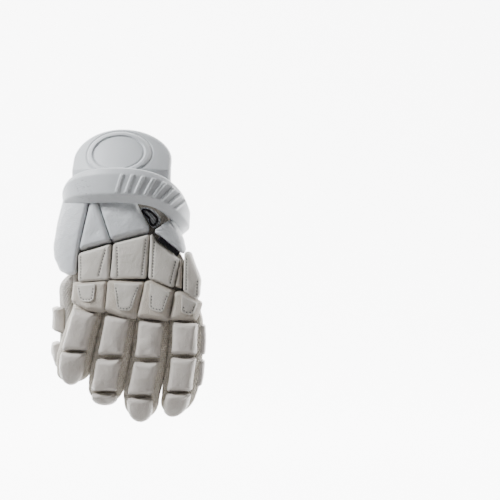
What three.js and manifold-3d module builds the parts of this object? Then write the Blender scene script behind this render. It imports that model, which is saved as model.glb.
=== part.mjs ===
// Left-hand lacrosse glove, hung by the top of its cuff cap. Millimetres, +Z up.
// Seen along +Y the back of the hand faces the viewer, with the thumb at -X and the little finger at +X.
// The origin is the middle of the cap's top edge.
import * as THREE from 'three';
import { mergeVertices } from 'three/addons/utils/BufferGeometryUtils.js';
import Module from 'manifold-3d';

const wasm = await Module();
wasm.setup();

// Clearances and walls
const GAP = 0.3; // between pieces that touch
const LINER_WALL = 2; // knitted liner and palm leather
const SLEEVE_WALL = 2; // finger and thumb stalls

// Cuff
const CAP_RISE = 48.5; // top of the cap above the band, measured upright
const CAP_TUCK = 13; // hidden length of the cap behind the band
const CAP_WIDTH = 112.5;
const CAP_ARC = 36; // height of the cap's round top
const CAP_THICKNESS = 9;
const CAP_LEAN = THREE.MathUtils.degToRad(29);
const CAP_BOW = 18; // how far the cap's two edges lie behind its middle
const EMBLEM_RADIUS = 36; // raised ring on the cap
const EMBLEM_RISE = 25.5; // half its height, measured upright
const EMBLEM_WIDTH = 5;
const EMBLEM_RELIEF = 1.4;
const EMBLEM_DROP = 29.5; // ring centre below the top of the cap, measured upright
const BAND_HEIGHT = 39;
const BAND_THICKNESS = 14;
const BAND_WIDTH = 150;
const BAND_DEPTH = 110;
const BAND_OFFSET = 1.2; // band centre to the little-finger side of the origin
const BAND_DROP = 46; // fall of the band from its front to its little-finger end
const RIB_COUNT = 8; // plain slanted ribs on the band's face
const RIB_RELIEF = 1.2;
const RIB_WIDTH = 2.6;
const RIB_PITCH = 8.5;
const RIB_LENGTH = 20;
const RIB_TILT = THREE.MathUtils.degToRad(14);
const RIB_START = 3; // degrees from the front to the first rib
const RIB_LIFT = 1.5; // ribs' middle above the band's
const STRAP_WIDTH = 21;
const STRAP_THICKNESS = 2.2;
const STRAP_STANDOFF = 9; // furthest that the strap stands off the liner

// Hand
const FINGER_WIDTH = 34.5;
const FINGER_GAP = 3;
const FINGER_DEPTH = 26;
const FINGER_LENGTH = 119.5; // of the longest finger, from its root to its tip
const HAND_LENGTH = 126; // lower edge of the band to the finger roots
const HAND_WIDTH = 4 * FINGER_WIDTH + 3 * FINGER_GAP;
const HAND_OFFSET = 9.7; // centre line of the pads to the little-finger side of the origin
const ROOT_OFFSET = 8; // finger roots beyond that centre line
const ROOT_SLANT = 12.5; // fall of the finger roots from the first finger to the last
const WRIST_DEPTH = 62;
const SIDE_ROLL = 12; // how far the back of the hand curves away at its sides
const FINGER_CURL = 10; // how far the fingertips bend towards the palm
const LIMB_ROLL = 0.42; // share of a stall's reach that its rounded back loses at its edges

// Padding
const PAD_THICKNESS = 15;
const PAD_TUCK = 1; // how far the band presses into the pads under it
const PAD_CORNER = 3; // corner radius of a pad's outline
const PAD_SINK = 5; // depth of a pad's blank behind the surface that it is trimmed to
const FINGER_PAD_THICKNESS = 13;
const FINGER_PAD_WIDTH = 28.5;
const TIP_TAPER = 0.35; // share of its thickness that a fingertip's pad loses at its end
const PAD_DRAW = 0.6; // how far a pad's long edges draw in between its corners
const PATCH_THICKNESS = 1.4;
const TAB_THICKNESS = 1.8;
const TAB_HEIGHT = 11; // height of the tab above the liner
const WINDOW_THICKNESS = 6;
const PIPING_RADIUS = 1.1;
const PIPING_INSET = 0.2; // share of the way from the window's edge to its middle
const GUSSET_THICKNESS = 8;

// Thumb
const THUMB_LENGTH = 117;
const THUMB_WIDTH = 31;
const THUMB_DEPTH = 27;
const THUMB_TURN = THREE.MathUtils.degToRad(-62); // the thumb's back faces this way round from -Y
const THUMB_START = 0.6; // height of the thumb's root, as a share of the hand's length
const THUMB_INSET = 0.5; // its root inside the liner's edge, as a share of the thumb's depth
const THUMB_SET_BACK = 0.66; // its root behind the liner's front, as a share of the liner's depth
const THUMB_PAD_WIDTH = 23;
const THUMB_PAD_THICKNESS = 11;
const SIDE_PAD_WIDTH = 18;
const SIDE_PAD_THICKNESS = 4;

// Levels and planes that follow from the sizes above
const BAND_LEVEL = -CAP_RISE - BAND_HEIGHT / 2;
const CUFF_EDGE = -CAP_RISE - BAND_HEIGHT;
const BAND_FRONT = -(CAP_RISE * Math.tan(CAP_LEAN) + CAP_THICKNESS / 2 + GAP); // its inner face
const BAND_CENTRE = BAND_FRONT + BAND_DEPTH / 2 - BAND_THICKNESS;
const LINER_FRONT = BAND_FRONT + PAD_THICKNESS - PAD_TUCK;
const SIDE_SEAM = LINER_FRONT + FINGER_DEPTH / 2; // where the liner meets the palm leather

// Liner sections from the mouth to the finger roots. down is a share of HAND_LENGTH below the band, centre
// and width are shares of HAND_WIDTH, taper goes from WRIST_DEPTH (0) to FINGER_DEPTH (1), square is the
// exponent of the section's super-ellipse and slant the share of ROOT_SLANT.
const LINER = [
  { down: -0.13, centre: -0.06, width: 0.66, taper: 0, square: 2.4, slant: 0 },
  { down: 0.15, centre: -0.085, width: 0.76, taper: 0.1, square: 2.6, slant: 0 },
  { down: 0.4, centre: -0.06, width: 0.85, taper: 0.4, square: 2.8, slant: 0 },
  { down: 0.65, centre: 0.01, width: 0.94, taper: 0.68, square: 3, slant: 0.2 },
  { down: 0.85, centre: 0.045, width: 0.97, taper: 0.9, square: 3.4, slant: 0.7 },
  { down: 1, centre: ROOT_OFFSET / HAND_WIDTH, width: 1, taper: 1, square: 4, slant: 1 },
];
const LINER_LEVELS = [-0.13, 0.1, 0.3, 0.5, 0.68, 0.84, 1];
const LINER_SIDES = 22;

// The band's run round the cuff. turn is in degrees from the front, thumb side negative; sink is a share of
// BAND_DROP; height and thick are shares of BAND_HEIGHT and BAND_THICKNESS.
const BAND_RUN = [
  { turn: -88, sink: 0.4, height: 0.18, thick: 0.42 },
  { turn: -72, sink: 0.29, height: 0.4, thick: 0.82 },
  { turn: -52, sink: 0.12, height: 0.74, thick: 1 },
  { turn: -28, sink: 0.02, height: 0.95, thick: 1 },
  { turn: 0, sink: 0, height: 1, thick: 1 },
  { turn: 20, sink: 0.03, height: 1, thick: 1 },
  { turn: 38, sink: 0.12, height: 0.95, thick: 1 },
  { turn: 55, sink: 0.31, height: 0.87, thick: 1 },
  { turn: 72, sink: 0.57, height: 0.79, thick: 1 },
  { turn: 90, sink: 0.8, height: 0.73, thick: 1 },
  { turn: 108, sink: 0.92, height: 0.64, thick: 0.9 },
  { turn: 118, sink: 0.95, height: 0.42, thick: 0.5 },
];

// The band's cross-section. out is a share of its thickness, up a share of its height: a rounded top, an
// upright face and a bevel that runs back under it.
const BAND_SECTION = [
  { out: 0, up: -0.44 },
  { out: 0.12, up: -0.5 },
  { out: 0.4, up: -0.5 },
  { out: 0.93, up: -0.29 },
  { out: 1, up: -0.22 },
  { out: 1, up: 0.3 },
  { out: 0.9, up: 0.43 },
  { out: 0.62, up: 0.5 },
  { out: 0.2, up: 0.49 },
  { out: 0, up: 0.42 },
];

// The strap's run round the palm side. off is how far it stands off the liner, as a share of STRAP_STANDOFF,
// and sink its fall as a share of STRAP_WIDTH.
const STRAP_RUN = [
  { turn: 66, off: 0.1, sink: 0.62 },
  { turn: 100, off: 0.1, sink: 0.55 },
  { turn: 150, off: 0.1, sink: 0.4 },
  { turn: 200, off: 0.1, sink: 0.3 },
  { turn: 240, off: 0.3, sink: 0.25 },
  { turn: 272, off: 0.85, sink: 0.25 },
  { turn: 288, off: 1, sink: 0.28 },
];
const STRAP_STEP = 12;

// Pads on the back of the hand, each a corner list: across is a share of HAND_WIDTH from the pads' centre
// line, down a share of HAND_LENGTH below the band.
const WRIST_PADS = {
  thumb_side_wrist_pad: [
    [-0.54, -0.1], [-0.275, -0.1], [-0.375, 0.4], [-0.405, 0.625], [-0.47, 0.64], [-0.548, 0.6], [-0.603, 0.48],
    [-0.611, 0.37], [-0.581, 0.18],
  ],
  wedge_pad: [[-0.262, -0.1], [-0.25, -0.1], [-0.128, 0.34], [-0.366, 0.415]],
  hood_pad: [[-0.24, -0.1], [0.02, -0.1], [0.154, 0.2], [0.147, 0.262], [-0.108, 0.343]],
  little_finger_side_wrist_pad: [
    [0.204, 0.245], [0.316, 0.14], [0.348, 0.158], [0.408, 0.31], [0.428, 0.405], [0.412, 0.44],
  ],
};
const WINDOW_OUTLINE = [
  [0.09, 0.035], [0.14, 0.03], [0.2, 0.06], [0.243, 0.13], [0.238, 0.175], [0.2, 0.222], [0.175, 0.2],
];
const TAB_OUTLINE = [[0.247, 0.2835], [0.393, 0.4315], [0.376, 0.4685], [0.23, 0.3235]];
const METACARPAL_PADS = {
  metacarpal_pad_1: [[-0.37, 0.45], [-0.126, 0.365], [-0.138, 0.668], [-0.374, 0.69]],
  metacarpal_pad_2: [[-0.097, 0.363], [0.164, 0.28], [0.138, 0.655], [-0.122, 0.662]],
  metacarpal_pad_3: [[0.18, 0.27], [0.213, 0.345], [0.385, 0.505], [0.343, 0.738], [0.168, 0.66]],
  metacarpal_pad_4: [[0.43, 0.438], [0.468, 0.435], [0.545, 0.68], [0.539, 0.82], [0.513, 0.85], [0.43, 0.775]],
};
const WEDGE_GUSSET_OUTLINE = [[0.394, 0.49], [0.41, 0.51], [0.412, 0.755], [0.358, 0.738]];
const KNUCKLE_PADS = {
  knuckle_pad_1: [[-0.42, 0.71], [-0.153, 0.688], [-0.174, 0.955], [-0.303, 0.953], [-0.441, 0.88]],
  knuckle_pad_2: [[-0.142, 0.68], [0.127, 0.7], [0.062, 1.015], [-0.05, 1], [-0.164, 0.948]],
  knuckle_pad_3: [[0.142, 0.69], [0.184, 0.683], [0.356, 0.782], [0.31, 1.035], [0.078, 1.005]],
  knuckle_pad_4: [[0.368, 0.785], [0.41, 0.785], [0.555, 0.888], [0.522, 1.045], [0.326, 1.03]],
};
const KNUCKLE_PATCHES = {
  knuckle_patch_1: [[-0.385, 0.718], [-0.232, 0.706], [-0.246, 0.866], [-0.363, 0.868]],
  knuckle_patch_2: [[-0.093, 0.696], [0.104, 0.711], [0.038, 0.95], [-0.069, 0.94]],
  knuckle_patch_3: [[0.18, 0.7], [0.33, 0.784], [0.28, 0.965], [0.17, 0.935]],
  knuckle_patch_4: [[0.415, 0.801], [0.532, 0.885], [0.5, 0.99], [0.412, 0.975]],
};

// Fingers, counted from the thumb side. reach is a share of the longest finger's length and girth of a stall's
// width; bend gives the centre line's sideways drift at shares of the finger's length, itself a share of that
// length; pads gives where each pad starts and ends, and lift how far its upper corner on the thumb side is
// raised, a share of its width.
const FINGERS = [
  {
    name: 'index_finger', reach: 0.703, girth: 0.99,
    bend: [{ along: 0, drift: 0 }, { along: 0.54, drift: -0.163 }, { along: 1, drift: -0.243 }],
    pads: [{ from: 0.033, to: 0.53, lift: 0.25 }, { from: 0.55, to: 1.02 }],
  },
  {
    name: 'middle_finger', reach: 0.869, girth: 1.04,
    bend: [{ along: 0, drift: 0 }, { along: 0.44, drift: -0.093 }, { along: 0.85, drift: -0.178 },
      { along: 1, drift: -0.18 }],
    pads: [{ from: 0.04, to: 0.447, lift: 0.14 }, { from: 0.483, to: 0.853 }, { from: 0.875, to: 1.02 }],
  },
  {
    name: 'ring_finger', reach: 1, girth: 1.02,
    bend: [{ along: 0, drift: 0 }, { along: 0.39, drift: -0.046 }, { along: 0.74, drift: -0.119 },
      { along: 1, drift: -0.13 }],
    pads: [{ from: 0.05, to: 0.388, lift: 0.16 }, { from: 0.42, to: 0.742 }, { from: 0.77, to: 1.02 }],
  },
  {
    name: 'little_finger', reach: 0.925, girth: 1,
    bend: [{ along: 0, drift: 0 }, { along: 0.36, drift: -0.015 }, { along: 0.75, drift: -0.072 },
      { along: 1, drift: -0.143 }],
    pads: [{ from: 0.03, to: 0.355, lift: 0.07 }, { from: 0.382, to: 0.737 }, { from: 0.758, to: 1.02 }],
  },
];
const SIDE_PADS = [{ from: 0.06, to: 0.37 }, { from: 0.43, to: 0.7 }];

// The thumb's centre line: out towards the thumb side and back towards the palm, shares of THUMB_LENGTH.
const THUMB_LINE = [
  { along: 0, out: 0, back: 0 },
  { along: 0.12, out: 0.11, back: 0.06 },
  { along: 0.3, out: 0.155, back: 0.13 },
  { along: 0.5, out: 0.16, back: 0.18 },
  { along: 0.75, out: 0.192, back: 0.19 },
  { along: 1, out: 0.232, back: 0.19 },
];
const THUMB_PADS = [{ from: 0.37, to: 0.64 }, { from: 0.73, to: 1 }];

// Stall sections along a finger or the thumb: width and depth as shares of the stall's own. Each section is a
// super-ellipse; the hollow's first section is raised by a share of the length, so that its mouth is open.
const STALL_SQUARE = 3;
const STALL_SIDES = 12;
const STALL_MOUTH = 0.1;
const STALL_SECTIONS = [
  { along: -0.15, width: 0.82, depth: 0.82 },
  { along: 0, width: 1.04, depth: 1 },
  { along: 0.36, width: 1.13, depth: 0.98 },
  { along: 0.76, width: 1.15, depth: 0.93 },
  { along: 0.96, width: 0.7, depth: 0.6 },
];
const THUMB_SECTIONS = [
  { along: -0.15, width: 0.82, depth: 0.82 },
  { along: 0.02, width: 1, depth: 1 },
  { along: 0.14, width: 1.06, depth: 1.2 },
  { along: 0.34, width: 1.06, depth: 1.1 },
  { along: 0.8, width: 0.98, depth: 0.92 },
  { along: 0.96, width: 0.6, depth: 0.6 },
];

// Crown profiles from the blank's back to its face: inset is a share of the way from the outline to the
// middle, height a share of the thickness. A height of null is the back of the blank.
const PAD_CROWN = [
  { inset: 0.04, height: null }, { inset: 0, height: 0.5 }, { inset: 0.06, height: 0.87 },
  { inset: 0.26, height: 1 },
];
const FLAT_CROWN = [{ inset: 0, height: null }, { inset: 0, height: 0.7 }, { inset: 0.08, height: 1 }];
const TAB_CROWN = [{ inset: 0, height: null }, { inset: 0, height: 1 }];

// The cap's cross-section from its back round to its face: side is a share of its half width, in a distance
// from its edge, through a share of its thickness.
const CAP_SECTION = [
  { side: -1, in: 2, through: 0 }, { side: -0.5, in: 0, through: 0 }, { side: 0, in: 0, through: 0 },
  { side: 0.5, in: 0, through: 0 }, { side: 1, in: 2, through: 0 }, { side: 1, in: 0, through: 0.35 },
  { side: 1, in: 0, through: 0.7 }, { side: 1, in: 3, through: 1 }, { side: 0.5, in: 0, through: 1 },
  { side: 0, in: 0, through: 1 }, { side: -0.5, in: 0, through: 1 }, { side: -1, in: 3, through: 1 },
  { side: -1, in: 0, through: 0.7 }, { side: -1, in: 0, through: 0.35 },
];

// Smooth reading of a table column at a value of its first column, by Hermite pieces
function read(rows, key, column, at) {
  const last = rows.length - 1;
  let i = 0;
  while (i < last - 1 && at > rows[i + 1][key]) i += 1;
  const slope = (k) => {
    const a = rows[Math.max(k - 1, 0)];
    const b = rows[Math.min(k + 1, last)];
    return (b[column] - a[column]) / (b[key] - a[key]);
  };
  const step = rows[i + 1][key] - rows[i][key];
  const t = THREE.MathUtils.clamp((at - rows[i][key]) / step, 0, 1);
  const over = at - rows[i][key] - t * step;
  const t2 = t * t;
  const t3 = t2 * t;
  const inside = (2 * t3 - 3 * t2 + 1) * rows[i][column] + (t3 - 2 * t2 + t) * step * slope(i)
    + (3 * t2 - 2 * t3) * rows[i + 1][column] + (t3 - t2) * step * slope(i + 1);
  return inside + over * slope(over < 0 ? i : i + 1);
}

// A closed solid from index triples and flat coordinates, turned outwards if its volume is negative
function solidFrom(positions, triangles) {
  const geometry = new THREE.BufferGeometry();
  geometry.setAttribute('position', new THREE.Float32BufferAttribute(positions, 3));
  geometry.setIndex(triangles);
  const merged = mergeVertices(geometry, 1e-4);
  const at = merged.getAttribute('position');
  const index = merged.getIndex().array;
  const [a, b, c] = [new THREE.Vector3(), new THREE.Vector3(), new THREE.Vector3()];
  let volume = 0;
  for (let i = 0; i < index.length; i += 3) {
    a.fromBufferAttribute(at, index[i]);
    b.fromBufferAttribute(at, index[i + 1]);
    c.fromBufferAttribute(at, index[i + 2]);
    volume += a.dot(b.cross(c));
  }
  const triVerts = new Uint32Array(index);
  if (volume < 0) {
    triVerts.reverse();
  }
  const vertProperties = new Float32Array(at.array);
  return new wasm.Manifold(new wasm.Mesh({ numProp: 3, vertProperties, triVerts }));
}

// A solid through rings of equal point counts. Its ends are closed by a fan, or by ear clipping in plan where
// a level ring is hollow-sided, or they are joined end to start.
function loft(rings, ends = 'fan') {
  const count = rings[0].length;
  const positions = rings.flatMap((ring) => ring.flatMap((p) => [p.x, p.y, p.z]));
  const triangles = [];
  const bands = ends === 'joined' ? rings.length : rings.length - 1;
  for (let r = 0; r < bands; r += 1) {
    const next = (r + 1) % rings.length;
    for (let i = 0; i < count; i += 1) {
      const j = (i + 1) % count;
      triangles.push(r * count + i, r * count + j, next * count + j);
      triangles.push(r * count + i, next * count + j, next * count + i);
    }
  }
  if (ends === 'plan') {
    [0, rings.length - 1].forEach((r, end) => {
      const plan = rings[r].map((p) => new THREE.Vector2(p.x, p.y));
      const turned = THREE.ShapeUtils.isClockWise(plan) ? 1 : 0;
      THREE.ShapeUtils.triangulateShape(plan, []).forEach((face) => {
        const corners = face.map((i) => r * count + i);
        triangles.push(...(end === turned ? corners.reverse() : corners));
      });
    });
  }
  if (ends === 'fan') {
    [0, rings.length - 1].forEach((r, end) => {
      const middle = rings[r].reduce((sum, p) => sum.add(p), new THREE.Vector3()).divideScalar(count);
      const apex = positions.length / 3;
      positions.push(middle.x, middle.y, middle.z);
      for (let i = 0; i < count; i += 1) {
        const edge = [r * count + ((i + 1) % count), r * count + i];
        triangles.push(...(end ? edge.reverse() : edge), apex);
      }
    });
  }
  return solidFrom(positions, triangles);
}

// A level super-ellipse ring of half-axes a and b, its a axis turned by the angle turn
function roundedRing(centre, a, b, square, count, turn = 0) {
  return Array.from({ length: count }, (_, i) => {
    const angle = (2 * Math.PI * (i + 0.5)) / count;
    const power = 2 / square;
    const u = a * Math.sign(Math.cos(angle)) * Math.abs(Math.cos(angle)) ** power;
    const v = b * Math.sign(Math.sin(angle)) * Math.abs(Math.sin(angle)) ** power;
    return new THREE.Vector3(
      centre.x + u * Math.cos(turn) - v * Math.sin(turn),
      centre.y + u * Math.sin(turn) + v * Math.cos(turn),
      centre.z,
    );
  });
}

// Liner
const across = (share) => HAND_OFFSET + share * HAND_WIDTH;
const level = (share) => CUFF_EDGE - share * HAND_LENGTH;
const slantAt = (x) => (-ROOT_SLANT * (x - across(ROOT_OFFSET / HAND_WIDTH))) / HAND_WIDTH;

function linerSection(down) {
  const depth = THREE.MathUtils.lerp(WRIST_DEPTH, FINGER_DEPTH, read(LINER, 'down', 'taper', down));
  return {
    centre: across(read(LINER, 'down', 'centre', down)),
    half: (read(LINER, 'down', 'width', down) * HAND_WIDTH) / 2,
    depth,
    square: read(LINER, 'down', 'square', down),
    slant: read(LINER, 'down', 'slant', down),
  };
}

function linerRing(down, grow, count) {
  const s = linerSection(down);
  const centre = new THREE.Vector3(s.centre, LINER_FRONT + s.depth / 2, level(down));
  const ring = roundedRing(centre, s.half + grow, s.depth / 2 + grow, s.square, count);
  ring.forEach((p) => { p.z += s.slant * slantAt(p.x); });
  return ring;
}

// The liner's solid out to a growth of its surface; past is how far it runs on beyond both ends
function linerSolid(grow, past = 0) {
  const rings = LINER_LEVELS.map((down) => linerRing(down, grow, LINER_SIDES));
  rings[0].forEach((p) => { p.z += past; });
  rings[rings.length - 1].forEach((p) => { p.z -= past; });
  return loft(rings);
}

// Faces that pads lie on. Each gives the height of its surface at (u, v) and places a point (u, v, height).
const handFace = {
  height(u, v) {
    const s = linerSection((CUFF_EDGE - v) / HAND_LENGTH);
    const t = Math.abs(u - s.centre) / s.half;
    return -LINER_FRONT - SIDE_ROLL * t ** 3;
  },
  place: (u, v, height) => new THREE.Vector3(u, -height, v),
};

const capFace = {
  height(u, v) {
    const fall = Math.min(-v, CAP_RISE) * Math.tan(CAP_LEAN);
    return fall - CAP_THICKNESS / 2 - CAP_BOW * (2 * u / CAP_WIDTH) ** 2;
  },
  place: (u, v, height) => new THREE.Vector3(u, -height, v),
};

// A finger or the thumb: line gives its centre, half and deep its half width and half depth
const limbShare = (limb, z) => (limb.root.z - z) / limb.length;

function limbFace(limb, onSide) {
  const turn = limb.turn + (onSide ? Math.PI / 2 : 0);
  return {
    height(u, v) {
      const s = limbShare(limb, v);
      const width = read(limb.sections, 'along', 'width', Math.min(s, 1)) * (limb.width / 2);
      const depth = read(limb.sections, 'along', 'depth', Math.min(s, 1)) * (limb.depth / 2);
      const [reach, spread] = onSide ? [width, limb.depth / 2] : [depth, limb.width / 2];
      return reach * (1 - LIMB_ROLL * Math.min(Math.abs(u) / spread, 1) ** 3);
    },
    place(u, v, height) {
      const c = limb.line(limbShare(limb, v));
      return new THREE.Vector3(
        c.x + u * Math.cos(turn) + height * Math.sin(turn),
        c.y + u * Math.sin(turn) - height * Math.cos(turn),
        v,
      );
    },
  };
}

// An outline with its corners rounded to three points each and a slightly drawn-in point on each long edge
function roundedOutline(corners, radius, drawIn) {
  const points = corners.map(([u, v]) => new THREE.Vector2(u, v));
  const middle = points.reduce((sum, p) => sum.add(p), new THREE.Vector2()).divideScalar(points.length);
  return points.flatMap((p, i) => {
    const before = points[(i + points.length - 1) % points.length];
    const after = points[(i + 1) % points.length];
    const cut = (q) => p.clone().lerp(q, Math.min(radius / p.distanceTo(q), 0.35));
    const [a, c] = [cut(before), cut(after)];
    const b = a.clone().add(c).multiplyScalar(0.25).add(p.clone().multiplyScalar(0.5));
    const edge = p.clone().lerp(after, 0.5);
    edge.lerp(middle, drawIn / edge.distanceTo(middle));
    return p.distanceTo(after) > 7 * radius ? [a, b, c, edge] : [a, b, c];
  });
}

// A pad blank on a face: rings of the outline, drawn in and raised along a crown profile
function padSolid({ outline, face, thickness, crown = PAD_CROWN, from = -PAD_SINK, grow = 0, taper = 0 }) {
  const us = outline.map((p) => p.x);
  const vs = outline.map((p) => p.y);
  const middle = (Math.min(...vs) + Math.max(...vs)) / 2;
  const halfU = (Math.max(...us) - Math.min(...us)) / 2;
  const halfV = (Math.max(...vs) - Math.min(...vs)) / 2;
  const centre = outline.reduce((sum, p) => sum.add(p), new THREE.Vector2()).divideScalar(outline.length);
  const rings = crown.map((row) => outline.map((p) => {
    const keep = 1 - row.inset;
    const u = centre.x + (p.x - centre.x) * (keep + grow / halfU);
    const v = centre.y + (p.y - centre.y) * (keep + grow / halfV);
    const thin = 1 - taper * (0.5 - (v - middle) / (2 * halfV));
    const rise = row.height === null ? from - grow : row.height * thickness * thin + grow;
    return face.place(u, v, face.height(u, v) + rise);
  }));
  return loft(rings);
}

const handOutline = (corners, radius = PAD_CORNER) => roundedOutline(
  corners.map(([a, d]) => [across(a), level(d)]), radius, PAD_DRAW,
);

// Cuff cap: a bowed plate, straight-sided below and half-elliptic above, made of level cross-sections.
// Its skin is the face alone, raised by a relief and kept inside the plate's edge and back.
function capSolid(relief = 0) {
  const foot = -CAP_RISE - CAP_TUCK;
  const rows = [{ z: foot, half: CAP_WIDTH / 2 }, { z: (foot - CAP_ARC) / 2, half: CAP_WIDTH / 2 }];
  const steps = 8;
  for (let i = 0; i < steps; i += 1) {
    const angle = (Math.PI / 2) * (i / (steps - 0.5));
    rows.push({ z: CAP_ARC * (Math.sin(angle) - 1), half: (CAP_WIDTH / 2) * Math.cos(angle) });
  }
  const last = rows.length - 1;
  const inside = relief > 0 ? CAP_THICKNESS / 3 : 0;
  return loft(rows.map((row, i) => CAP_SECTION.map(({ side, in: inset, through }) => {
    const half = Math.max(row.half - inside, row.half / 3);
    const u = side * half - Math.sign(side) * Math.min(inset, half / 3);
    const pinch = i === last ? 0.5 : 1;
    const depth = inside + (CAP_THICKNESS - inside) * (0.5 + (through - 0.5) * pinch) + relief * through;
    return capFace.place(u, row.z, capFace.height(u, row.z) + depth);
  })), 'plan');
}

function emblemRing() {
  const round = (path, inset) => path.absellipse(
    0, 0, EMBLEM_RADIUS - inset, EMBLEM_RISE - inset, 0, 2 * Math.PI,
  );
  const shape = round(new THREE.Shape(), 0);
  shape.holes.push(round(new THREE.Path(), EMBLEM_WIDTH));
  const settings = { depth: 2 * CAP_RISE, bevelEnabled: false, curveSegments: 9 };
  const prism = new THREE.ExtrudeGeometry(shape, settings);
  prism.rotateX(Math.PI / 2);
  prism.translate(0, 0, -EMBLEM_DROP);
  return geometrySolid(prism);
}

function geometrySolid(geometry) {
  geometry.deleteAttribute('normal');
  geometry.deleteAttribute('uv');
  const merged = mergeVertices(geometry, 1e-4);
  const index = merged.getIndex();
  return solidFrom(Array.from(merged.getAttribute('position').array), Array.from(index.array));
}

// Cuff band: its section carried along the run, square to the run and facing outwards
function bandPoint(turn) {
  const angle = THREE.MathUtils.degToRad(turn);
  return new THREE.Vector3(
    BAND_OFFSET + (BAND_WIDTH / 2 - BAND_THICKNESS) * Math.sin(angle),
    BAND_CENTRE - (BAND_DEPTH / 2 - BAND_THICKNESS) * Math.cos(angle),
    BAND_LEVEL - BAND_DROP * read(BAND_RUN, 'turn', 'sink', turn),
  );
}

function bandFrame(turn) {
  const along = bandPoint(turn + 1).sub(bandPoint(turn - 1)).normalize();
  const out = new THREE.Vector3(along.y, -along.x, 0).normalize();
  const up = new THREE.Vector3().crossVectors(out, along).normalize();
  return { at: bandPoint(turn), along, out, up: up.z < 0 ? up.negate() : up };
}

function bandSolid(grow = 0) {
  const turns = [];
  for (let i = 0; i < BAND_RUN.length - 1; i += 1) {
    turns.push(BAND_RUN[i].turn, (BAND_RUN[i].turn + BAND_RUN[i + 1].turn) / 2);
  }
  turns.push(BAND_RUN[BAND_RUN.length - 1].turn);
  return loft(turns.map((turn, k) => {
    const f = bandFrame(turn);
    const height = BAND_HEIGHT * read(BAND_RUN, 'turn', 'height', turn);
    const thick = BAND_THICKNESS * read(BAND_RUN, 'turn', 'thick', turn);
    const end = k === 0 ? -1 : Number(k === turns.length - 1);
    return BAND_SECTION.map((row) => f.at.clone()
      .addScaledVector(f.out, row.out * thick + grow * Math.sign(row.out - 0.3))
      .addScaledVector(f.up, row.up * height + grow * Math.sign(row.up))
      .addScaledVector(f.along, grow * end));
  }));
}

// Plain slanted ribs: boxes across the band's face, trimmed to a thin growth of the band
function bandRibs() {
  const skin = bandSolid(RIB_RELIEF);
  const ribs = [];
  for (let i = 0; i < RIB_COUNT; i += 1) {
    const outer = BAND_WIDTH / 2;
    const turn = THREE.MathUtils.radToDeg((RIB_PITCH * i) / outer) + RIB_START;
    const f = bandFrame(turn);
    const box = new THREE.BoxGeometry(RIB_WIDTH, BAND_THICKNESS, RIB_LENGTH);
    box.rotateY(RIB_TILT);
    const place = new THREE.Matrix4().makeBasis(f.along, f.out.clone().negate(), f.up);
    place.setPosition(f.at.clone().addScaledVector(f.out, BAND_THICKNESS).addScaledVector(f.up, RIB_LIFT));
    ribs.push(geometrySolid(box.applyMatrix4(place)).intersect(skin));
  }
  return ribs;
}

// Strap: a flat strip standing off the liner's section, from the little-finger side round to the thumb side
function strapSolid() {
  const start = CUFF_EDGE + STRAP_WIDTH / 2;
  const rings = [];
  for (let turn = STRAP_RUN[0].turn; turn <= STRAP_RUN[STRAP_RUN.length - 1].turn; turn += STRAP_STEP) {
    const z = start - STRAP_WIDTH * read(STRAP_RUN, 'turn', 'sink', turn);
    const off = STRAP_STANDOFF * read(STRAP_RUN, 'turn', 'off', turn);
    const s = linerSection((CUFF_EDGE - z) / HAND_LENGTH);
    const angle = THREE.MathUtils.degToRad(turn);
    const power = 2 / s.square;
    const [sin, cos] = [Math.sin(angle), Math.cos(angle)];
    const side = Math.sign(sin) * Math.abs(sin) ** power;
    const front = -Math.sign(cos) * Math.abs(cos) ** power;
    const at = (extra, up) => new THREE.Vector3(
      s.centre + (s.half + off + extra) * side,
      LINER_FRONT + s.depth / 2 + (s.depth / 2 + off + extra) * front,
      z + up,
    );
    const half = STRAP_WIDTH / 2;
    rings.push([at(0, -half), at(STRAP_THICKNESS, -half), at(STRAP_THICKNESS, half), at(0, half)]);
  }
  return loft(rings);
}

// Stalls: a finger or the thumb, open at its root and closed at its tip
function stallSolid(limb, grow, wall) {
  const rings = limb.sections.map((row) => {
    const share = row.along + (grow - wall) / limb.length * Number(row.along > 0.9);
    return roundedRing(
      limb.line(share),
      (limb.width / 2) * row.width + grow - wall,
      (limb.depth / 2) * row.depth + grow - wall,
      STALL_SQUARE, STALL_SIDES, limb.turn,
    );
  });
  if (wall > 0) rings[0].forEach((p) => { p.z += limb.length * STALL_MOUTH; });
  return loft(rings);
}

const fingers = FINGERS.map((row, i) => {
  const x = across(ROOT_OFFSET / HAND_WIDTH) + (i - (FINGERS.length - 1) / 2) * (FINGER_WIDTH + FINGER_GAP);
  const root = new THREE.Vector3(x, LINER_FRONT + FINGER_DEPTH / 2, level(1) + slantAt(x));
  const length = FINGER_LENGTH * row.reach;
  const line = (s) => new THREE.Vector3(
    root.x + length * read(row.bend, 'along', 'drift', Math.max(s, 0)),
    root.y + FINGER_CURL * Math.max(s, 0) ** 2,
    root.z - length * s,
  );
  const [width, depth, sections] = [FINGER_WIDTH * row.girth, FINGER_DEPTH, STALL_SECTIONS];
  return { ...row, root, length, line, width, depth, sections, turn: 0 };
});

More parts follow.
